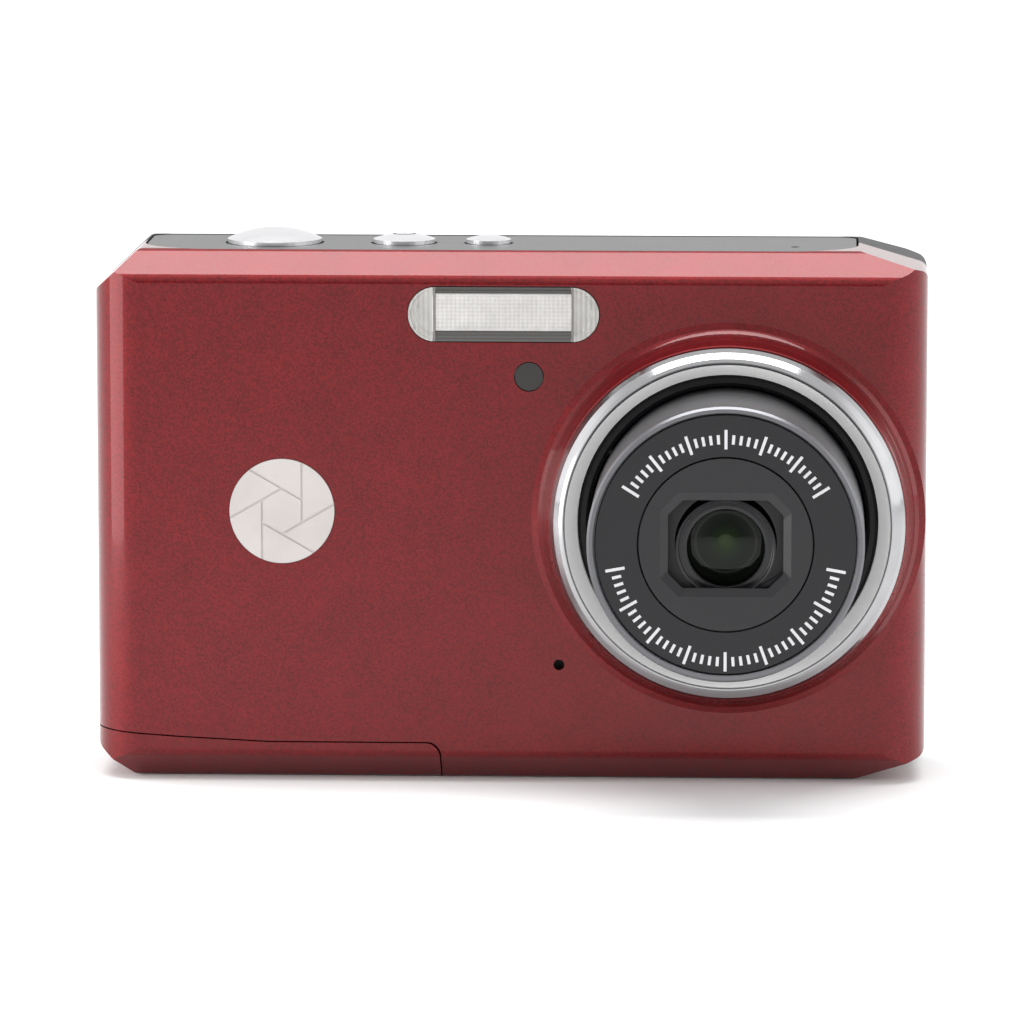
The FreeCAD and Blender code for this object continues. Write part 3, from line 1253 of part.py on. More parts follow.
PARTS = {
    "front_cover": front_cover,
    "rear_cover": rear_cover,
    "top_cover": top_cover,
    "battery_door": battery_door,
    "door_hinge_pin": door_hinge_pin,
    "door_contact": door_contact,
    "battery_holder": battery_holder,
    "battery_cells": battery_cells,
    "top_contacts": top_contacts,
    "card_slot": card_slot,
    "memory_card": memory_card,
    "shutter_button": lambda: top_button(SHUTTER),
    "shutter_spring": shutter_spring,
    "power_button": lambda: top_button(POWER),
    "scene_button": lambda: top_button(SCENE_KEY),
    "lens_trim_ring": lens_trim_ring,
    "barrel_seal": barrel_seal,
    "lens_housing": lens_housing,
    "cam_ring": cam_ring,
    "idler_gear": idler_gear,
    "motor_pinion": motor_pinion,
    "zoom_motor": zoom_motor,
    "zoom_barrel": zoom_barrel,
    "name_ring": name_ring,
    "lens_bezel": lens_bezel,
    "upper_blade": lambda: blade(1, BLADE_LAYERS[0]),
    "lower_blade": lambda: blade(-1, BLADE_LAYERS[1]),
    "lens_cell": lens_cell,
    "front_lens": front_lens,
    "zoom_cell": lambda: stepped_cell(ZOOM_CELL_Y[0], ZOOM_CELL_Y[1], ZOOM_GLASS_R + 0.05),
    "zoom_glass": lambda: biconvex(ZOOM_CELL_Y[0], ZOOM_CELL_Y[1], ZOOM_GLASS_R),
    "focus_cell": lambda: stepped_cell(FOCUS_CELL_Y[0], FOCUS_CELL_Y[1], FOCUS_GLASS_R + 0.05),
    "focus_glass": lambda: biconvex(FOCUS_CELL_Y[0], FOCUS_CELL_Y[1], FOCUS_GLASS_R),
    "image_sensor": image_sensor,
    "main_board": main_board,
    "chassis": chassis,
    "tripod_socket": tripod_socket,
    "flash_window": flash_window,
    "flash_reflector": flash_reflector,
    "flash_tube": flash_tube,
    "flash_capacitor": flash_capacitor,
    "focus_lamp_window": lamp_window,
    "sound_units": sound_units,
    "badge": badge,
    "screen_window": screen_window,
    "screen_module": screen_module,
    "zoom_rocker": zoom_rocker,
    "direction_pad": direction_pad,
    "set_key": set_key,
    "key_board": key_board,
    "top_board": top_board,
    "status_lamp": status_lamp,
    "usb_connector": usb_connector,
    "port_cover": port_cover,
    "strap_bar": strap_bar,
    "screws": screws,
}
for key_name in ROUND_KEYS:
    PARTS[key_name] = lambda name=key_name: round_key(name)


def main():
    """Write one file for each piece."""
    os.makedirs("parts", exist_ok=True)
    for name, make in PARTS.items():
        make().exportStep("parts/" + name + ".step")


main()
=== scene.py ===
"""Looks of a compact digital camera, built as an add-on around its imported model."""
import json
import math

import bmesh
import bpy
from bpy.props import FloatProperty, FloatVectorProperty, IntProperty, PointerProperty
from mathutils import Matrix, Vector


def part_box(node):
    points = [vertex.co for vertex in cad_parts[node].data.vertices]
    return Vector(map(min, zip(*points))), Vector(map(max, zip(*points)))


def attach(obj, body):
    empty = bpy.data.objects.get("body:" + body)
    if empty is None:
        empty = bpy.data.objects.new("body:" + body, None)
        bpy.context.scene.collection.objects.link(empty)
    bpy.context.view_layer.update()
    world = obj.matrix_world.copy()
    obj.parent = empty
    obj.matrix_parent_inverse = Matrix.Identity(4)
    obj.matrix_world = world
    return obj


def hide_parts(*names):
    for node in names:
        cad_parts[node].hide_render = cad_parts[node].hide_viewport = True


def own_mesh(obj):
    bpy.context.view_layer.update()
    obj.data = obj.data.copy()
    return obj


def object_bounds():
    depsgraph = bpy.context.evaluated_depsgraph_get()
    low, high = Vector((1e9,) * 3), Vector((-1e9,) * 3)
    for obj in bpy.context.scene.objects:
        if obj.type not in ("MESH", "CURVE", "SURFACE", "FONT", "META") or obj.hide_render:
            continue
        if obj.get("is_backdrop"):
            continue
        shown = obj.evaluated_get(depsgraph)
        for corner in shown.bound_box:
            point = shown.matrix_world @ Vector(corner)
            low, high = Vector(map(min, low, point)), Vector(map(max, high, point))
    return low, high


bl_info = {
    "name": "Compact Camera Looks",
    "version": (1, 0, 0),
    "blender": (4, 5, 0),
    "location": "3D View > Sidebar > Compact Camera",
    "description": "Finishes, lens details, key marks and studio for a compact digital camera",
    "category": "Object",
}

MM = 0.001
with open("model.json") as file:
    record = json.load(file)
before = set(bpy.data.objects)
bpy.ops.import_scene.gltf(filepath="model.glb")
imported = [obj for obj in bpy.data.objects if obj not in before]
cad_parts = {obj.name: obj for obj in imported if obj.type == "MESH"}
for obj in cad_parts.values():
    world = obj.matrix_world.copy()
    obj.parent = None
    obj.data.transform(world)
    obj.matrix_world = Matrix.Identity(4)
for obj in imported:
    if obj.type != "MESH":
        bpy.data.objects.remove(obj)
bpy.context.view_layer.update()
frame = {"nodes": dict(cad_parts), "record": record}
NODES = frame["nodes"]
SLOT_OF = {entry["node"]: entry["material_slot"] for entry in frame["record"]["subparts"]}


def middle(node):
    """Centre of a node's box at rest."""
    low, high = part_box(node)
    return (low + high) / 2


FLASH_CENTRE = middle("flash_window")
FLASH_LIFT = 0.24 * MM
LENS_AXIS = middle("zoom_barrel")
INK_DEPTH = 0.06 * MM
INK_LIFT = 0.01 * MM
MARK_LENGTH = 2.1 * MM
MARK_WIDTH = 0.32 * MM
MARK_INSET = 2.05 * MM


# ---- shader helpers ----

class Signal:
    """A value that varies over a surface; arithmetic on it adds Math nodes."""

    def __init__(self, finish, socket):
        self.finish = finish
        self.socket = socket

    def math(self, operation, first, second=0.0):
        """Result of one Math node."""
        return self.finish.node("ShaderNodeMath", {0: first, 1: second}, operation=operation)

    def __add__(self, other):
        return self.math("ADD", self, other)

    __radd__ = __add__

    def __mul__(self, other):
        return self.math("MULTIPLY", self, other)

    __rmul__ = __mul__

    def __sub__(self, other):
        return self.math("SUBTRACT", self, other)

    def __rsub__(self, other):
        return self.math("SUBTRACT", other, self)

    def __truediv__(self, other):
        return self.math("DIVIDE", self, other)

    def __pow__(self, other):
        return self.math("POWER", self, other)

    def above(self, other):
        return self.math("GREATER_THAN", self, other)

    def below(self, other):
        return self.math("LESS_THAN", self, other)

    def least(self, other):
        return self.math("MINIMUM", self, other)

    def most(self, other):
        return self.math("MAXIMUM", self, other)

    def size(self):
        return self.math("ABSOLUTE", self)

    def wave(self, pitch):
        """Sine wave that repeats every pitch."""
        return self.math("SINE", self * (2 * math.pi / pitch))

    def step(self, low, high):
        """Smooth step from 0 at low to 1 at high."""
        inputs = {"Value": self, "From Min": low, "From Max": high}
        return self.finish.node("ShaderNodeMapRange", inputs, interpolation_type="SMOOTHSTEP")


class Finish:
    """A procedural material: one Principled shader and the nodes that vary it."""

    def __init__(self, name, color, roughness, metallic=0.0, **constants):
        self.material = bpy.data.materials.new("look_" + name)
        self.material.use_nodes = True
        self.material.diffuse_color = (*color, 1)
        self.tree = self.material.node_tree
        self.shader = self.tree.nodes["Principled BSDF"]
        self.color = color
        self.set("Base Color", (*color, 1))
        self.set("Roughness", roughness)
        self.set("Metallic", metallic)
        for socket, value in constants.items():
            self.set(socket.replace("_", " "), value)

    def set(self, socket, value):
        """Feed one input of the shader."""
        self.connect(self.shader.inputs[socket], value)

    def connect(self, socket, value):
        """Link a signal to a socket, or set the socket to a constant."""
        if isinstance(value, Signal):
            self.tree.links.new(value.socket, socket)
        else:
            socket.default_value = value

    def node(self, kind, inputs=None, output=0, **settings):
        """Add a node with its settings and inputs, and return one output."""
        made = self.tree.nodes.new(kind)
        for key, value in settings.items():
            setattr(made, key, value)
        for key, value in (inputs or {}).items():
            self.connect(made.inputs[key], value)
        return Signal(self, made.outputs[output])

    def place(self):
        """Position on the object."""
        return self.node("ShaderNodeTexCoord", output="Object")

    def axis(self, name, origin=(0, 0, 0)):
        """One coordinate in metres, measured from an origin."""
        offset = self.node("ShaderNodeVectorMath", {0: self.place(), 1: tuple(origin)}, operation="SUBTRACT")
        return self.node("ShaderNodeSeparateXYZ", {0: offset}, output=name)

    def radius(self, centre):
        """Distance in metres from a line along Y through centre."""
        across = self.axis("X", centre)
        up = self.axis("Z", centre)
        return (across * across + up * up) ** 0.5

    def noise(self, grain, detail=2.0, stretch=(1, 1, 1)):
        """Noise from 0 to 1 with features of about grain metres."""
        where = self.place()
        if stretch != (1, 1, 1):
            where = self.node("ShaderNodeVectorMath", {0: where, 1: stretch}, operation="MULTIPLY")
        inputs = {"Vector": where, "Scale": 1 / grain, "Detail": detail}
        return self.node("ShaderNodeTexNoise", inputs)

    def cells(self, grain):
        """Distance to the middle of a cell, in a pattern of cells of about grain metres."""
        return self.node("ShaderNodeTexVoronoi", {"Vector": self.place(), "Scale": 1 / grain})

    def flakes(self, grain):
        """A random value for each cell of about grain metres."""
        inputs = {"Vector": self.place(), "Scale": 1 / grain}
        color = self.node("ShaderNodeTexVoronoi", inputs, output="Color")
        return self.node("ShaderNodeSeparateXYZ", {0: color})

    def mix(self, factor, first, second):
        """Blend of two colours by a factor."""
        made = self.tree.nodes.new("ShaderNodeMix")
        made.data_type = "RGBA"
        color_inputs = [socket for socket in made.inputs if socket.type == "RGBA"]
        self.connect(made.inputs[0], factor)
        self.connect(color_inputs[0], rgba(first))
        self.connect(color_inputs[1], rgba(second))
        return Signal(self, made.outputs[2])

    def shade(self, factor, low, high):
        """Base colour that goes from low to high times the finish's own colour."""
        dark = tuple(channel * low for channel in self.color)
        light = tuple(channel * high for channel in self.color)
        self.set("Base Color", self.mix(factor, dark, light))

    def bump(self, height, distance, strength=1.0):
        """Relief from a height signal, distance in metres."""
        inputs = {"Height": height, "Distance": distance, "Strength": strength}
        self.set("Normal", self.node("ShaderNodeBump", inputs))


def rgba(value):
    """Colour with an alpha, or a signal as it is."""
    return value if isinstance(value, Signal) else (*value, 1)


# ---- finishes ----

def red_paint():
    """Dark red metallic paint: fine flake under a clear coat."""
    paint = tuple(bpy.context.scene.camera_look.paint)
    f = Finish("red_paint", paint, 0.42, 0.6, Coat_Weight=1.0, Coat_Roughness=0.05, Coat_IOR=1.33,
               Specular_IOR_Level=0.15)
    spark = f.flakes(0.0002)
    cloud = f.noise(0.0045, 3.0)
    f.shade(spark * 0.6 + cloud * 0.4, 0.55, 1.5)
    f.set("Roughness", 0.34 + spark * 0.2)
    f.bump(f.noise(0.0011, 2.0), 0.00002, 0.16)
    return f.material


def moulded(name, color, roughness, grain=0.00018, depth=0.000012, coat=0.0):
    """Moulded plastic with a fine spark-eroded grain."""
    f = Finish(name, color, roughness, Coat_Weight=coat, Coat_Roughness=0.15, Specular_IOR_Level=0.35)
    pits = f.cells(grain)
    f.shade(f.noise(0.006, 3.0), 0.86, 1.16)
    f.set("Roughness", roughness - 0.08 + f.noise(0.0016, 2.0) * 0.16)
    f.bump(pits, depth, 0.5)
    return f.material


def brushed(name, color, roughness, stretch=(1, 1, 30), metallic=1.0, depth=0.000006):
    """Metal with fine parallel marks; the stretch is large across the marks."""
    f = Finish(name, color, roughness, metallic)
    marks = f.noise(0.002, 3.0, stretch)
    f.shade(marks, 0.85, 1.1)
    f.set("Roughness", roughness - 0.06 + marks * 0.14)
    f.bump(marks, depth, 0.35)
    return f.material


def bright_trim():
    """Lens trim ring: bright outer flank, a dark line of painted groove shadow at the rim, and a satin dish
    inside it that gives off a little painted light.
    """
    f = Finish("bright_trim", (0.80, 0.81, 0.83), 0.16, 1.0)
    radius = f.radius(middle("lens_trim_ring"))
    dish = 1.0 - radius.step(17.75 * MM, 17.85 * MM)
    # painted shadow: a dark line all round the rim stands in for the shade of a groove there
    groove_shadow = radius.step(17.82 * MM, 17.88 * MM) * (1.0 - radius.step(17.94 * MM, 18.0 * MM))
    turning = radius.wave(0.25 * MM)
    cloud = f.noise(0.0022, 3.0)
    plain = f.mix(cloud, (0.34, 0.34, 0.35), (0.42, 0.42, 0.43))
    satin = f.mix(dish, plain, (0.95, 0.95, 0.94))
    f.set("Base Color", f.mix(groove_shadow * 0.85, satin, (0.03, 0.03, 0.03)))
    f.set("Metallic", 1.0 - dish)
    f.set("Roughness", 0.10 + cloud * 0.06 + dish * 0.30)
    # painted light: the dish emits a little light of its own, though it is no lamp, so that it reads as
    # brightly lit
    f.set("Emission Strength", 0.12)
    f.set("Emission Color", f.mix(dish, (0.0, 0.0, 0.0), (1.0, 1.0, 0.98)))
    f.bump(turning * dish, 0.000002, 0.3)
    return f.material


def top_grey():
    """Grey satin paint of the top cover, with a fine sparkle."""
    f = Finish("top_grey", (0.105, 0.105, 0.107), 0.42, 0.25, Coat_Weight=0.08, Coat_Roughness=0.3,
               Specular_IOR_Level=0.3)
    spark = f.flakes(0.0002)
    f.shade(spark * 0.7 + f.noise(0.005) * 0.3, 0.8, 1.2)
    f.bump(f.cells(0.00025), 0.000006, 0.4)
    return f.material


def clear(name, color, roughness):
    """Clear plastic with faint polishing haze."""
    f = Finish(name, color, roughness, Transmission_Weight=1.0, IOR=1.5)
    haze = f.noise(0.004, 3.0)
    f.shade(haze, 0.97, 1.03)
    f.set("Roughness", roughness + haze * 0.03)
    return f.material


def coated_lens():
    """Lens glass seen from outside: dark, with a dim green glowing spot at the centre under its coating, a
    painted reflection.
    """
    f = Finish("lens_glass", (0.006, 0.006, 0.006), 0.05, Coat_Weight=0.2, Coat_Roughness=0.02,
               Coat_IOR=1.4, Coat_Tint=(0.75, 1.0, 0.70, 1), Specular_IOR_Level=0.12)
    radius = f.radius(middle("front_lens"))
    # painted reflection: a dim green light at the centre and a brighter middle, painted into the base colour
    painted_glow = 1.0 - radius.step(0.2 * MM, 2.4 * MM)
    painted_glow_core = 1.0 - radius.step(0.2 * MM, 1.1 * MM)
    ring = radius.step(3.1 * MM, 3.2 * MM) * (1.0 - radius.step(3.3 * MM, 3.5 * MM))
    cloud = f.noise(0.0016, 2.0)
    deep = f.mix(ring * 0.5, (0.004, 0.005, 0.004), (0.03, 0.03, 0.028))
    green = f.mix(painted_glow * (0.75 + cloud * 0.5), deep, (0.008, 0.015, 0.003))
    f.set("Base Color", f.mix(painted_glow_core * cloud, green, (0.022, 0.034, 0.009)))
    f.set("Roughness", 0.04 + cloud * 0.04)
    return f.material


def flash_front():
    """Flash optic: bright ribbed middle, grey ribbed ends, dark strips above and below."""
    f = Finish("flash_front", (0.75, 0.74, 0.72), 0.2, Coat_Weight=1.0, Coat_Roughness=0.04)
    across = f.axis("X", FLASH_CENTRE).size()
    up = f.axis("Z", FLASH_CENTRE) - FLASH_LIFT
    end = across.step(7.72 * MM, 7.80 * MM)
    strip = up.size().step(2.02 * MM, 2.10 * MM) * (1.0 - end)
    post = across.step(7.42 * MM, 7.46 * MM) * (1.0 - end)
    fine = f.axis("Z", FLASH_CENTRE).wave(0.42 * MM)
    cloud = f.noise(0.0013, 2.0)
    bright = f.mix(cloud * 0.8 + fine * 0.12, (0.44, 0.425, 0.415), (0.72, 0.705, 0.685))
    smoked = f.mix(up.step(-3.1 * MM, -2.0 * MM), (0.048, 0.044, 0.038), (0.020, 0.018, 0.016))
    frost = f.mix(cloud, (0.32, 0.31, 0.29), (0.50, 0.49, 0.47))
    middle_part = f.mix(strip, bright, smoked)
    with_posts = f.mix(post, middle_part, (0.16, 0.15, 0.14))
    f.set("Base Color", f.mix(end, with_posts, frost))
    f.set("Roughness", 0.14 + cloud * 0.14)
    f.bump(fine * (1.0 - end), 0.000012, 0.4)
    return f.material


def screen_glass():
    """Screen cover: black printed border round a slightly lighter view."""
    f = Finish("screen_glass", (0.006, 0.006, 0.007), 0.07, Coat_Weight=1.0, Coat_Roughness=0.03)
    centre = middle("screen_window")
    sharpness = 4 / MM
    across = (27.4 * MM - f.axis("X", centre).size()) * sharpness
    up = (20.6 * MM - f.axis("Z", centre).size()) * sharpness
    view = across.least(up).most(0.0).least(1.0)
    f.set("Base Color", f.mix(view, (0.004, 0.004, 0.005), (0.017, 0.019, 0.022)))
    f.set("Roughness", 0.05 + f.noise(0.012, 4.0) * 0.05)
    return f.material


def circuit_board():
    """Green board with lighter traces and gold pads."""
    f = Finish("board_green", (0.02, 0.12, 0.05), 0.35, Coat_Weight=0.4)
    tracks = f.noise(0.0016, 1.0, (1, 1, 6)).above(0.56)
    pads = f.cells(0.0024).below(0.17)
    green = f.mix(tracks, (0.015, 0.10, 0.04), (0.03, 0.20, 0.08))
    f.set("Base Color", f.mix(pads, green, (0.75, 0.52, 0.2)))
    f.set("Metallic", pads)
    f.bump(tracks + pads, 0.00002, 0.5)
    return f.material


def cell_sleeve():
    """Printed cell sleeve: dark body and a copper band at one end."""
    f = Finish("cell_can", (0.02, 0.03, 0.06), 0.28, 0.6, Coat_Weight=0.5)
    height = f.axis("Z")
    band = height.above(41 * MM)
    ends = (height - 29.1 * MM).size().above(24.6 * MM)
    body = f.mix(band, (0.02, 0.025, 0.05), (0.55, 0.25, 0.08))
    f.set("Base Color", f.mix(ends, body, (0.6, 0.6, 0.6)))
    f.set("Roughness", 0.22 + f.noise(0.003) * 0.12)
    return f.material


def name_ring_paint():
    """Satin dark ring of the lens, very finely turned."""
    f = Finish("name_ring_paint", (0.013, 0.0125, 0.0145), 0.38, 0.3)
    rings = f.radius(middle("name_ring")).wave(0.3 * MM)
    cloud = f.noise(0.003, 3.0)
    f.shade(rings * 0.25 + 0.25 + cloud * 0.5, 0.88, 1.1)
    f.set("Roughness", 0.34 + cloud * 0.08)
    f.bump(rings, 0.000004, 0.3)
    return f.material


def key_print(node, symbol):
    """Key plastic with a printed symbol; symbol(across, up) is positive inside, in millimetres."""
    f = Finish(node + "_print", (0.05, 0.05, 0.053), 0.36, Coat_Weight=0.25, Coat_Roughness=0.15)
    centre = middle(node)
    across = f.axis("X", centre) * (-1 / MM)
    up = f.axis("Z", centre) * (1 / MM)
    printed = symbol(across, up).step(-0.03, 0.03)
    face = f.axis("Y", centre).above((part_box(node)[1].y - centre.y) - 0.06 * MM)
    cloud = f.noise(0.004, 3.0)
    plain = f.mix(cloud, tuple(c * 0.85 for c in f.color), tuple(c * 1.15 for c in f.color))
    f.set("Base Color", f.mix(printed * face, plain, (0.55, 0.55, 0.56)))
    f.set("Roughness", 0.30 + cloud * 0.12)
    f.bump(f.cells(0.0003), 0.000006, 0.4)
    return f.material


def play_symbol(across, up):
    """Triangle pointing right."""
    return (across + 0.55).least(0.72 - (up.size() * 1.732 + across) * 0.8)


def menu_symbol(across, up):
    """Three short lines."""
    middle_line = 0.12 - up.size()
    outer_lines = 0.12 - (up.size() - 0.5).size()
    return middle_line.most(outer_lines).least(0.85 - across.size())


def delete_symbol(across, up):
    """Diagonal cross."""
    first = 0.13 - ((across + up) * 0.707).size()
    second = 0.13 - ((across - up) * 0.707).size()
    return first.most(second).least(0.8 - (across * across + up * up) ** 0.5)


def set_symbol(across, up):
    """Thin ring."""
    return 0.09 - ((across * across + up * up) ** 0.5 - 1.1).size()


def pad_symbol(across, up):
    """Four small arrowheads round the pad."""
    far = across.size().most(up.size())
    near = across.size().least(up.size())
    return (far - 5.9).least(0.95 - near - (far - 5.9))


def rocker_symbol(across, up):
    """Minus on one end and plus on the other."""
    away = across.size() - 5.2
    bar = (0.12 - up.size()).least(0.62 - away.size())
    post = (0.12 - away.size()).least(0.62 - up.size()).least(across)
    return bar.most(post)


def power_finish():
    """Brushed metal button with an engraved ring and a bar across its top."""
    f = Finish("power_metal", (0.80, 0.80, 0.82), 0.22, 1.0)
    centre = middle("power_button")
    across = f.axis("X", centre) * (1 / MM)
    along = f.axis("Y", centre) * (1 / MM)
    radius = (across * across + along * along) ** 0.5
    gap = (across.size() - 0.38).most(-1.0 * along)
    ring = (0.13 - (radius - 1.15).size()).least(gap)
    bar = (0.13 - across.size()).least(0.62 - (along - 1.0).size())
    engraved = ring.most(bar).step(-0.03, 0.03)
    marks = f.noise(0.002, 3.0, (1, 12, 1))
    plain = f.mix(marks, (0.70, 0.70, 0.72), (0.88, 0.88, 0.90))
    f.set("Base Color", f.mix(engraved, plain, (0.05, 0.05, 0.05)))
    f.set("Roughness", 0.18 + marks * 0.12 + engraved * 0.3)
    f.bump(marks - engraved, 0.000008, 0.4)
    return f.material


KEY_SYMBOLS = {
    "play_key": play_symbol,
    "menu_key": menu_symbol,
    "delete_key": delete_symbol,
    "set_key": set_symbol,
    "direction_pad": pad_symbol,
    "zoom_rocker": rocker_symbol,
}

MOULDED = {
    "rear_shell": ((0.022, 0.022, 0.024), 0.48, 0.0003, 0.00002),
    "seal_rubber": ((0.004, 0.004, 0.0045), 0.55, 0.0002, 0.00001),
    "rubber_cover": ((0.020, 0.020, 0.022), 0.62, 0.00025, 0.00002),
    "bezel_plastic": ((0.010, 0.0095, 0.0115), 0.36, 0.00022, 0.000006, 0.2),
    "black_plastic": ((0.012, 0.012, 0.013), 0.5),
    "scale_white": ((0.62, 0.61, 0.63), 0.5, 0.0001, 0.000003),
    "lamp_glass": ((0.018, 0.015, 0.013), 0.2, 0.0009, 0.00001, 0.3),
    "badge_grey": ((0.53, 0.495, 0.48), 0.35, 0.0002, 0.000004, 0.2),
    "gear_plastic": ((0.75, 0.73, 0.68), 0.45),
    "sensor_ceramic": ((0.06, 0.06, 0.08), 0.25, 0.0004, 0.00001, 0.6),
    "card_blue": ((0.02, 0.035, 0.08), 0.4),
    "capacitor_sleeve": ((0.02, 0.02, 0.03), 0.3, 0.0006, 0.00001, 0.3),
    "screen_panel": ((0.03, 0.03, 0.035), 0.3),
    "key_plastic": ((0.05, 0.05, 0.053), 0.36, 0.0003, 0.000008, 0.2),
    "record_red": ((0.45, 0.02, 0.02), 0.33, 0.0003, 0.000006, 0.4),
}

BRUSHED = {
    "button_metal": ((0.80, 0.80, 0.82), 0.22, (1, 12, 1)),
    "barrel_metal": ((0.16, 0.16, 0.17), 0.30, (1, 20, 1), 0.9),
    "blade_steel": ((0.03, 0.03, 0.032), 0.4, (1, 1, 14)),
    "reflector": ((0.92, 0.91, 0.88), 0.18, (20, 1, 1)),
    "steel": ((0.55, 0.55, 0.56), 0.28),
    "brass": ((0.72, 0.52, 0.22), 0.3),
    "contact_metal": ((0.72, 0.70, 0.66), 0.24, (20, 1, 1)),
}

CLEAR = {
    "clear_window": ((0.97, 0.97, 0.96), 0.03),
    "lamp_green": ((0.25, 0.8, 0.35), 0.15),
}

SPECIAL = {
    "red_paint": red_paint,
    "top_grey": top_grey,
    "power_metal": power_finish,
    "bright_trim": bright_trim,
    "name_ring_paint": name_ring_paint,
    "lens_glass": coated_lens,
    "flash_front": flash_front,
    "screen_glass": screen_glass,
    "board_green": circuit_board,
    "cell_can": cell_sleeve,
}


# ---- pieces ----

def finish_of(name):
    """Material of a finish, made on first use."""
    made = bpy.data.materials.get("look_" + name)
    if made:
        return made
    for family, make in ((MOULDED, moulded), (BRUSHED, brushed), (CLEAR, clear)):
        if name in family:
            return make(name, *family[name])
    return SPECIAL[name]()


def dress(*nodes, finish=None):
    """Give CAD nodes the finish of their slot, or the one named."""
    for node in nodes:
        mesh = NODES[node].data
        mesh.materials.clear()
        mesh.materials.append(finish_of(finish or SLOT_OF[node]))


def piece_from(bm, name, slot, body, smooth=40.0, finish=None):
    """Object made from a finished bmesh, riding on a body with its slot's or its own finish."""
    mesh = bpy.data.meshes.new(name)
    bmesh.ops.recalc_face_normals(bm, faces=bm.faces)
    bm.to_mesh(mesh)
    bm.free()
    mesh.materials.append(finish_of(finish or slot))
    mesh.shade_smooth()
    mesh.set_sharp_from_angle(angle=math.radians(smooth))
    return carried(mesh, name, body)


def carried(mesh, name, body):
    """Object of a mesh that takes a slot's finish and rides on a body."""
    piece = bpy.data.objects.new(name, mesh)
    bpy.context.scene.collection.objects.link(piece)
    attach(piece, body)
    return piece


def lathe(profile, centre, steps):
    """Closed ring turned about a line along Y through centre, from a loop of (radius, depth) points."""
    bm = bmesh.new()
    rings = []
    for step in range(steps):
        turn = 2 * math.pi * step / steps
        ring = []
        for radius, depth in profile:
            x = centre[0] + radius * math.cos(turn)
            z = centre[2] + radius * math.sin(turn)
            ring.append(bm.verts.new((x, centre[1] + depth, z)))
        rings.append(ring)
    count = len(profile)
    for step in range(steps):
        this, following = rings[step], rings[(step + 1) % steps]
        for i in range(count):
            j = (i + 1) % count
            bm.faces.new((this[i], this[j], following[j], following[i]))
    return bm


def stadium_plate(centre, half_width, half_height, front, back, relief, columns=300, rows=44):
    """Closed plate with rounded ends whose front is raised by relief(x, z); sizes in metres."""
    bm = bmesh.new()
    straight = half_width - half_height
    front_grid = []
    back_grid = []
    for i in range(columns + 1):
        turn = math.pi * i / columns
        x = -half_width * 0.9995 * math.cos(turn)
        over = max(0.0, abs(x) - straight)
        high = math.sqrt(max(half_height ** 2 - over ** 2, 1e-12))
        heights = [high * (2 * j / rows - 1) for j in range(rows + 1)]
        spots = [(centre[0] + x, z) for z in heights]
        front_grid.append([bm.verts.new((at, front - relief(x, z), centre[2] + z)) for at, z in spots])
        back_grid.append([bm.verts.new((at, back, centre[2] + z)) for at, z in spots])
    for grid in (front_grid, back_grid):
        for i in range(columns):
            for j in range(rows):
                bm.faces.new((grid[i][j], grid[i + 1][j], grid[i + 1][j + 1], grid[i][j + 1]))
    for i in range(columns):
        for j in (0, rows):
            bm.faces.new((front_grid[i][j], front_grid[i + 1][j], back_grid[i + 1][j], back_grid[i][j]))
    for i in (0, columns):
        for j in range(rows):
            bm.faces.new((front_grid[i][j], front_grid[i][j + 1], back_grid[i][j + 1], back_grid[i][j]))
    return bm


def flash_relief(x, z):
    """Height of the flash optic's front: ribs, posts and recessed strips, in metres."""
    wide = abs(x) / MM
    high = abs(z - FLASH_LIFT) / MM
    edge = 3.0 - math.hypot(max(0.0, wide - 7.5), z / MM)
    rim = 0.10 if edge < 0.28 else 0.0
    if wide > 7.76:
        band = 0.05 if edge < 0.85 else 0.0
        return (rim + band + 0.035 * math.sin(wide * 2 * math.pi / 0.55)) * MM
    if wide > 7.44:
        return 0.08 * MM
    if high > 2.06:
        return (rim - 0.12) * MM
    if high > 1.86:
        return 0.07 * MM
    return (0.02 * math.sin(wide * 2 * math.pi / 0.48) + 0.015 * math.cos(high * 2.2)) * MM


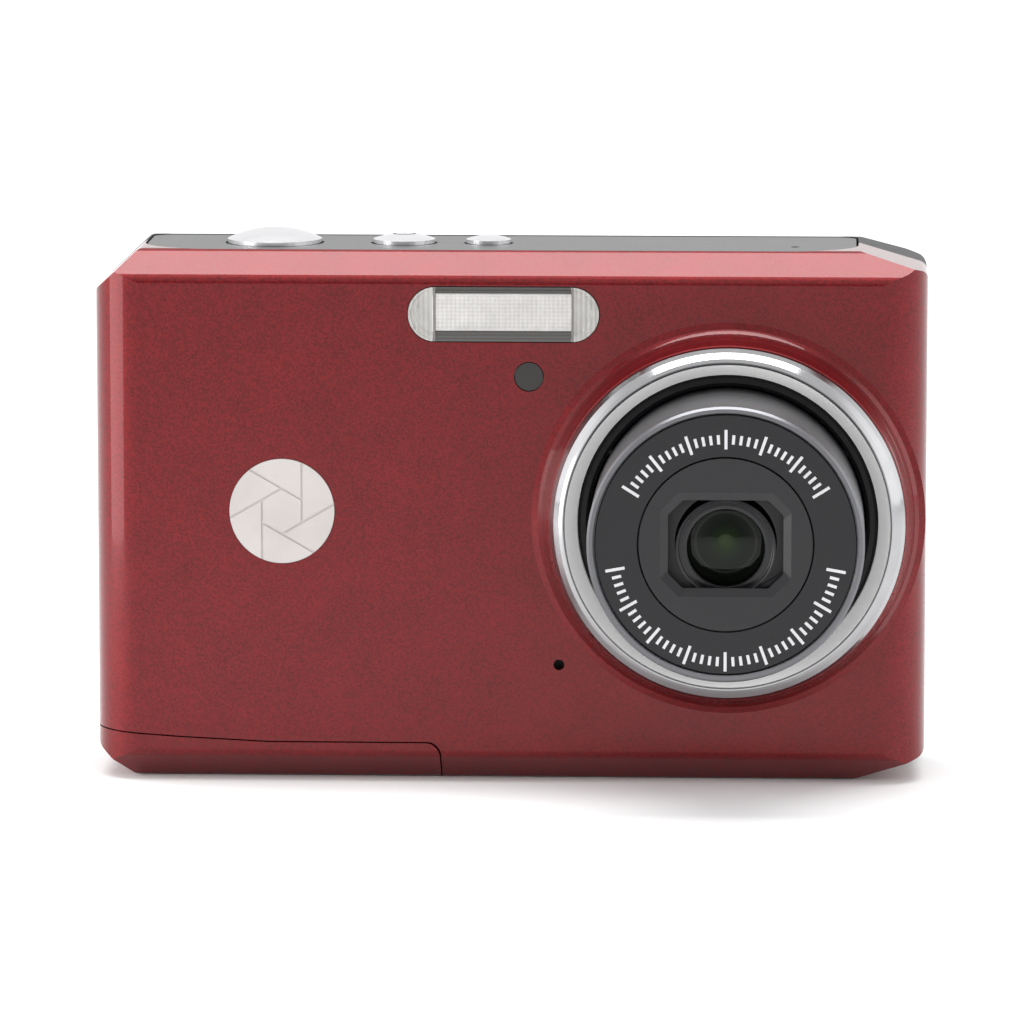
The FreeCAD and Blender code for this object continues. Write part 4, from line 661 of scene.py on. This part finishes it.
def scale_group():
    """Geometry nodes: an arc of radial marks, every fifth one long."""
    tree = bpy.data.node_groups.new("scale_arc", "GeometryNodeTree")
    kinds = {"Count": "NodeSocketInt", "Radius": "NodeSocketFloat", "Start": "NodeSocketFloat",
             "End": "NodeSocketFloat", "Length": "NodeSocketFloat", "Width": "NodeSocketFloat",
             "Ink": "NodeSocketMaterial"}
    for name, kind in kinds.items():
        tree.interface.new_socket(name, in_out="INPUT", socket_type=kind)
    tree.interface.new_socket("Geometry", in_out="OUTPUT", socket_type="NodeSocketGeometry")
    nodes, links = tree.nodes, tree.links
    given = nodes.new("NodeGroupInput").outputs
    result = nodes.new("NodeGroupOutput")

    def put(kind, inputs, output=0, **settings):
        made = nodes.new(kind)
        for key, value in settings.items():
            setattr(made, key, value)
        for key, value in inputs.items():
            if isinstance(value, bpy.types.NodeSocket):
                links.new(value, made.inputs[key])
            else:
                made.inputs[key].default_value = value
        return made.outputs[output]

    def math_node(operation, first, second=0.0):
        return put("ShaderNodeMath", {0: first, 1: second}, operation=operation)

    index = put("GeometryNodeInputIndex", {})
    last = math_node("SUBTRACT", given["Count"], 1.0)
    share = math_node("DIVIDE", index, last)
    sweep = math_node("SUBTRACT", given["End"], given["Start"])
    angle = math_node("ADD", given["Start"], math_node("MULTIPLY", sweep, share))
    across = math_node("MULTIPLY", given["Radius"], math_node("COSINE", angle))
    up = math_node("MULTIPLY", given["Radius"], math_node("SINE", angle))
    where = put("ShaderNodeCombineXYZ", {"X": across, "Z": up})
    points = put("GeometryNodePoints", {"Count": given["Count"], "Position": where})
    size = put("ShaderNodeCombineXYZ", {"X": given["Length"], "Y": INK_DEPTH, "Z": given["Width"]})
    bar = put("GeometryNodeMeshCube", {"Size": size})
    turn = put("ShaderNodeCombineXYZ", {"Y": math_node("MULTIPLY", angle, -1.0)})
    every = math_node("MODULO", index, 5.0)
    short = math_node("GREATER_THAN", every, 0.5)
    stretch = math_node("SUBTRACT", 1.0, math_node("MULTIPLY", short, 0.52))
    scale = put("ShaderNodeCombineXYZ", {"X": stretch, "Y": 1.0, "Z": 1.0})
    inputs = {"Points": points, "Instance": bar, "Rotation": turn, "Scale": scale}
    copies = put("GeometryNodeInstanceOnPoints", inputs)
    real = put("GeometryNodeRealizeInstances", {"Geometry": copies})
    inked = put("GeometryNodeSetMaterial", {"Geometry": real, "Material": given["Ink"]})
    links.new(inked, result.inputs["Geometry"])
    return tree


def scale_arc(name, tree, count, start, end, radius, depth):
    """One arc of marks on the name ring between two angles in degrees, carried by the barrel."""
    carrier = bpy.data.objects.new(name + "_carrier", bpy.data.meshes.new(name + "_carrier"))
    bpy.context.scene.collection.objects.link(carrier)
    modifier = carrier.modifiers.new("marks", "NODES")
    modifier.node_group = tree
    values = {"Count": count, "Radius": radius, "Start": math.radians(start), "End": math.radians(end),
              "Length": MARK_LENGTH, "Width": MARK_WIDTH, "Ink": finish_of("scale_white")}
    for item in tree.interface.items_tree:
        if item.in_out == "INPUT":
            modifier[item.identifier] = values[item.name]
    evaluated = carrier.evaluated_get(bpy.context.evaluated_depsgraph_get())
    mesh = bpy.data.meshes.new_from_object(evaluated)
    carrier.modifiers.clear()
    bpy.data.objects.remove(carrier)
    mesh.transform(Matrix.Translation((LENS_AXIS.x, depth, LENS_AXIS.z)))
    mesh.name = name
    return carried(mesh, name, "barrel")


# ---- settings ----

class CameraLook(bpy.types.PropertyGroup):
    """Sizes and colours of the object's looks."""
    paint: FloatVectorProperty(name="Paint", description="Colour of the metallic paint", subtype="COLOR",
                               default=(0.142, 0.0042, 0.006), min=0, max=1)
    azimuth: FloatProperty(name="Azimuth", description="Turn of the view", subtype="ANGLE",
                           default=math.radians(2.5))
    elevation: FloatProperty(name="Elevation", description="Height of the view", subtype="ANGLE",
                             default=math.radians(8.0))
    distance: FloatProperty(name="Distance", description="Distance of the view", unit="LENGTH", default=0.8)
    focal: FloatProperty(name="Focal length", description="Lens of the view in millimetres", default=250.6)
    marks: IntProperty(name="Scale marks", description="Marks in the upper arc of the name ring; "
                       "the lower arc has ten more", default=31, min=2)


# ---- stage ----

def add_area(name, place, target, width, height, power):
    """Soft light that faces a target; sizes in metres, power in watts."""
    data = bpy.data.lights.new(name, "AREA")
    data.shape = "RECTANGLE"
    data.size = width
    data.size_y = height
    data.energy = power
    lamp = bpy.data.objects.new(name, data)
    bpy.context.scene.collection.objects.link(lamp)
    lamp.location = place
    lamp.rotation_euler = (Vector(target) - Vector(place)).to_track_quat("-Z", "Y").to_euler()


class CAMERALOOK_OT_stage(bpy.types.Operator):
    """Pale floor, soft studio light and the view of the object"""
    bl_idname = "cameralook.stage"
    bl_label = "Stage"

    def execute(self, context):
        scene = context.scene
        look = scene.camera_look
        scene.view_settings.view_transform = "Standard"
        scene.view_settings.look = "None"
        self.view(scene, look)
        self.floor()
        self.sky(scene)
        add_area("overhead", (0.0, 0.05, 0.70), (0, 0, 0.03), 0.7, 0.22, 4.0)
        add_area("left_panel", (-0.20, -0.09, 0.045), (-0.04, 0, 0.03), 0.12, 0.09, 0.135)
        return {"FINISHED"}

    def view(self, scene, look):
        """Camera that looks at the object from the settings' angle and distance."""
        level = math.cos(look.elevation)
        back = Vector((math.sin(look.azimuth) * level, -math.cos(look.azimuth) * level,
                       math.sin(look.elevation)))
        aim = Vector((0.06, 0.0, 28.47)) * MM
        data = bpy.data.cameras.new("view")
        data.lens = look.focal
        data.sensor_width = 36.0
        data.clip_start = 0.01
        data.clip_end = 20.0
        camera = bpy.data.objects.new("view", data)
        scene.collection.objects.link(camera)
        camera.location = aim + back * look.distance
        camera.rotation_euler = (-back).to_track_quat("-Z", "Y").to_euler()
        scene.camera = camera

    def floor(self):
        """Large pale disc under the object."""
        bm = bmesh.new()
        bmesh.ops.create_circle(bm, cap_ends=True, segments=96, radius=6.0)
        mesh = bpy.data.meshes.new("floor")
        bm.to_mesh(mesh)
        bm.free()
        finish = Finish("floor_white", (0.93, 0.93, 0.93), 0.7, Specular_IOR_Level=0.2)
        finish.shade(finish.noise(0.4, 2.0), 0.995, 1.005)
        mesh.materials.append(finish.material)
        floor = bpy.data.objects.new("floor", mesh)
        floor.location = (0, 0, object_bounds()[0].z - 0.00002)
        bpy.context.scene.collection.objects.link(floor)
        floor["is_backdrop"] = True

    def sky(self, scene):
        """Surround that is white behind, above and at the sides, and dimmer in front."""
        world = bpy.data.worlds.new("studio")
        world.use_nodes = True
        scene.world = world
        tree = world.node_tree
        nodes, links = tree.nodes, tree.links
        where = nodes.new("ShaderNodeTexCoord")
        split = nodes.new("ShaderNodeSeparateXYZ")
        links.new(where.outputs["Generated"], split.inputs[0])
        sideways = nodes.new("ShaderNodeMath")
        sideways.operation = "ABSOLUTE"
        links.new(split.outputs["X"], sideways.inputs[0])
        total = None
        ramps = (
            (split.outputs["Y"], {"From Min": -0.97, "From Max": -0.72, "To Min": 0.36, "To Max": 1.02}),
            (sideways.outputs[0], {"From Min": 0.60, "From Max": 0.95, "To Min": 0.0, "To Max": 1.1}),
        )
        for source, levels in ramps:
            ramp = nodes.new("ShaderNodeMapRange")
            ramp.interpolation_type = "SMOOTHSTEP"
            for key, value in levels.items():
                ramp.inputs[key].default_value = value
            links.new(source, ramp.inputs["Value"])
            add = nodes.new("ShaderNodeMath")
            links.new(ramp.outputs["Result"], add.inputs[0])
            add.inputs[1].default_value = 0.0
            if total:
                links.new(total, add.inputs[1])
            total = add.outputs[0]
        links.new(total, nodes["Background"].inputs["Strength"])
        nodes["Background"].inputs["Color"].default_value = (1, 1, 1, 1)


# ---- groups of pieces ----

class CAMERALOOK_OT_casing(bpy.types.Operator):
    """Covers, door and what is on them"""
    bl_idname = "cameralook.casing"
    bl_label = "Casing"

    def execute(self, context):
        dress("front_cover", "rear_cover", "top_cover", "battery_door", "badge", "port_cover", "strap_bar",
              "screws", "tripod_socket", "focus_lamp_window")
        return {"FINISHED"}


class CAMERALOOK_OT_buttons(bpy.types.Operator):
    """Top buttons, rear keys and the screen"""
    bl_idname = "cameralook.buttons"
    bl_label = "Buttons and screen"

    def execute(self, context):
        dress("shutter_button", "scene_button", "record_key", "screen_window",
              "screen_module", "status_lamp")
        dress("power_button", finish="power_metal")
        for node, symbol in KEY_SYMBOLS.items():
            mesh = NODES[node].data
            mesh.materials.clear()
            mesh.materials.append(key_print(node, symbol))
        self.return_spring()
        return {"FINISHED"}

    def return_spring(self):
        """Spring under the shutter button: a copy of the part with doubled points merged, carried by the
        casing.
        """
        low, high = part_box("shutter_spring")
        bm = bmesh.new()
        bm.from_mesh(NODES["shutter_spring"].data)
        bmesh.ops.remove_doubles(bm, verts=bm.verts, dist=0.000001)
        spring = piece_from(bm, "return_spring", SLOT_OF["shutter_spring"], "casing", 50)
        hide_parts("shutter_spring")
        foot = middle("shutter_spring")
        foot.z = low.z
        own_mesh(spring)


class CAMERALOOK_OT_lens(bpy.types.Operator):
    """Trim ring, barrel, name ring with its scale, and the glass"""
    bl_idname = "cameralook.lens"
    bl_label = "Lens"

    def execute(self, context):
        dress("lens_trim_ring", "barrel_seal", "zoom_barrel", "name_ring", "lens_bezel")
        dress("upper_blade", "lower_blade", "lens_cell", "front_lens")
        dress("zoom_cell", "zoom_glass", "focus_cell", "focus_glass", "image_sensor")
        dress("lens_housing", "cam_ring", "idler_gear", "motor_pinion", "zoom_motor")
        self.baffle()
        self.scale(context.scene.camera_look)
        return {"FINISHED"}

    def baffle(self):
        """Stepped rings between the blades and the front glass."""
        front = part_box("front_lens")[0].y
        rim = ((5.46, 0.20), (5.40, 0.05), (5.22, 0.02), (5.10, 0.12))
        step = ((5.02, 0.62), (4.94, 0.68), (4.70, 0.66), (4.36, 0.60), (4.24, 0.64), (4.18, 0.74))
        back = ((4.16, 0.95), (4.90, 1.38), (5.46, 1.70))
        profile = [(radius * MM, front + depth * MM) for radius, depth in rim + step + back]
        bm = lathe(profile, (LENS_AXIS.x, 0, LENS_AXIS.z), 160)
        piece_from(bm, "lens_baffle", "bezel_plastic", "barrel", 30)

    def scale(self, look):
        """Two arcs of pale marks on the name ring."""
        low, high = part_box("name_ring")
        radius = (high.x - low.x) / 2 - MARK_INSET
        depth = low.y - INK_LIFT
        tree = scale_group()
        scale_arc("upper_scale", tree, look.marks, 148, 32, radius, depth)
        scale_arc("lower_scale", tree, look.marks + 10, 190, 350, radius, depth)


class CAMERALOOK_OT_flash(bpy.types.Operator):
    """Flash window, reflector and tube"""
    bl_idname = "cameralook.flash"
    bl_label = "Flash"

    def execute(self, context):
        dress("flash_window", "flash_reflector", "flash_tube", "flash_capacitor")
        low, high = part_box("flash_window")
        half_width = (high.x - low.x) / 2
        half_height = (high.z - low.z) / 2
        front = low.y + 0.17 * MM
        bm = stadium_plate(FLASH_CENTRE, half_width, half_height, front, high.y, flash_relief)
        optic = piece_from(bm, "flash_optic", "clear_window", "casing", 30, "flash_front")
        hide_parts("flash_window")
        return {"FINISHED"}


class CAMERALOOK_OT_inside(bpy.types.Operator):
    """Battery bay, card, boards and frame"""
    bl_idname = "cameralook.inside"
    bl_label = "Inside"

    def execute(self, context):
        dress("door_hinge_pin", "door_contact", "battery_holder", "battery_cells", "top_contacts")
        dress("card_slot", "memory_card", "usb_connector")
        dress("main_board", "key_board", "top_board", "chassis")
        dress("sound_units", finish="seal_rubber")
        return {"FINISHED"}


# ---- panel and registration ----

OPERATORS = (
    CAMERALOOK_OT_stage,
    CAMERALOOK_OT_casing,
    CAMERALOOK_OT_buttons,
    CAMERALOOK_OT_lens,
    CAMERALOOK_OT_flash,
    CAMERALOOK_OT_inside,
)


class CAMERALOOK_PT_panel(bpy.types.Panel):
    """Sidebar panel with the settings and one button for each group"""
    bl_idname = "CAMERALOOK_PT_panel"
    bl_label = "Compact Camera"
    bl_space_type = "VIEW_3D"
    bl_region_type = "UI"
    bl_category = "Compact Camera"

    def draw(self, context):
        look = context.scene.camera_look
        for name in CameraLook.__annotations__:
            self.layout.prop(look, name)
        for operator in OPERATORS:
            self.layout.operator(operator.bl_idname)


def register():
    """Register the settings, the operators and the panel."""
    for kind in (CameraLook, *OPERATORS, CAMERALOOK_PT_panel):
        bpy.utils.register_class(kind)
    bpy.types.Scene.camera_look = PointerProperty(type=CameraLook)


def unregister():
    """Remove what register added."""
    del bpy.types.Scene.camera_look
    for kind in (CAMERALOOK_PT_panel, *reversed(OPERATORS), CameraLook):
        bpy.utils.unregister_class(kind)


def main():
    """Build every group in order."""
    register()
    bpy.ops.cameralook.stage()
    bpy.ops.cameralook.casing()
    bpy.ops.cameralook.buttons()
    bpy.ops.cameralook.lens()
    bpy.ops.cameralook.flash()
    bpy.ops.cameralook.inside()


if __name__ == "__main__":
    main()
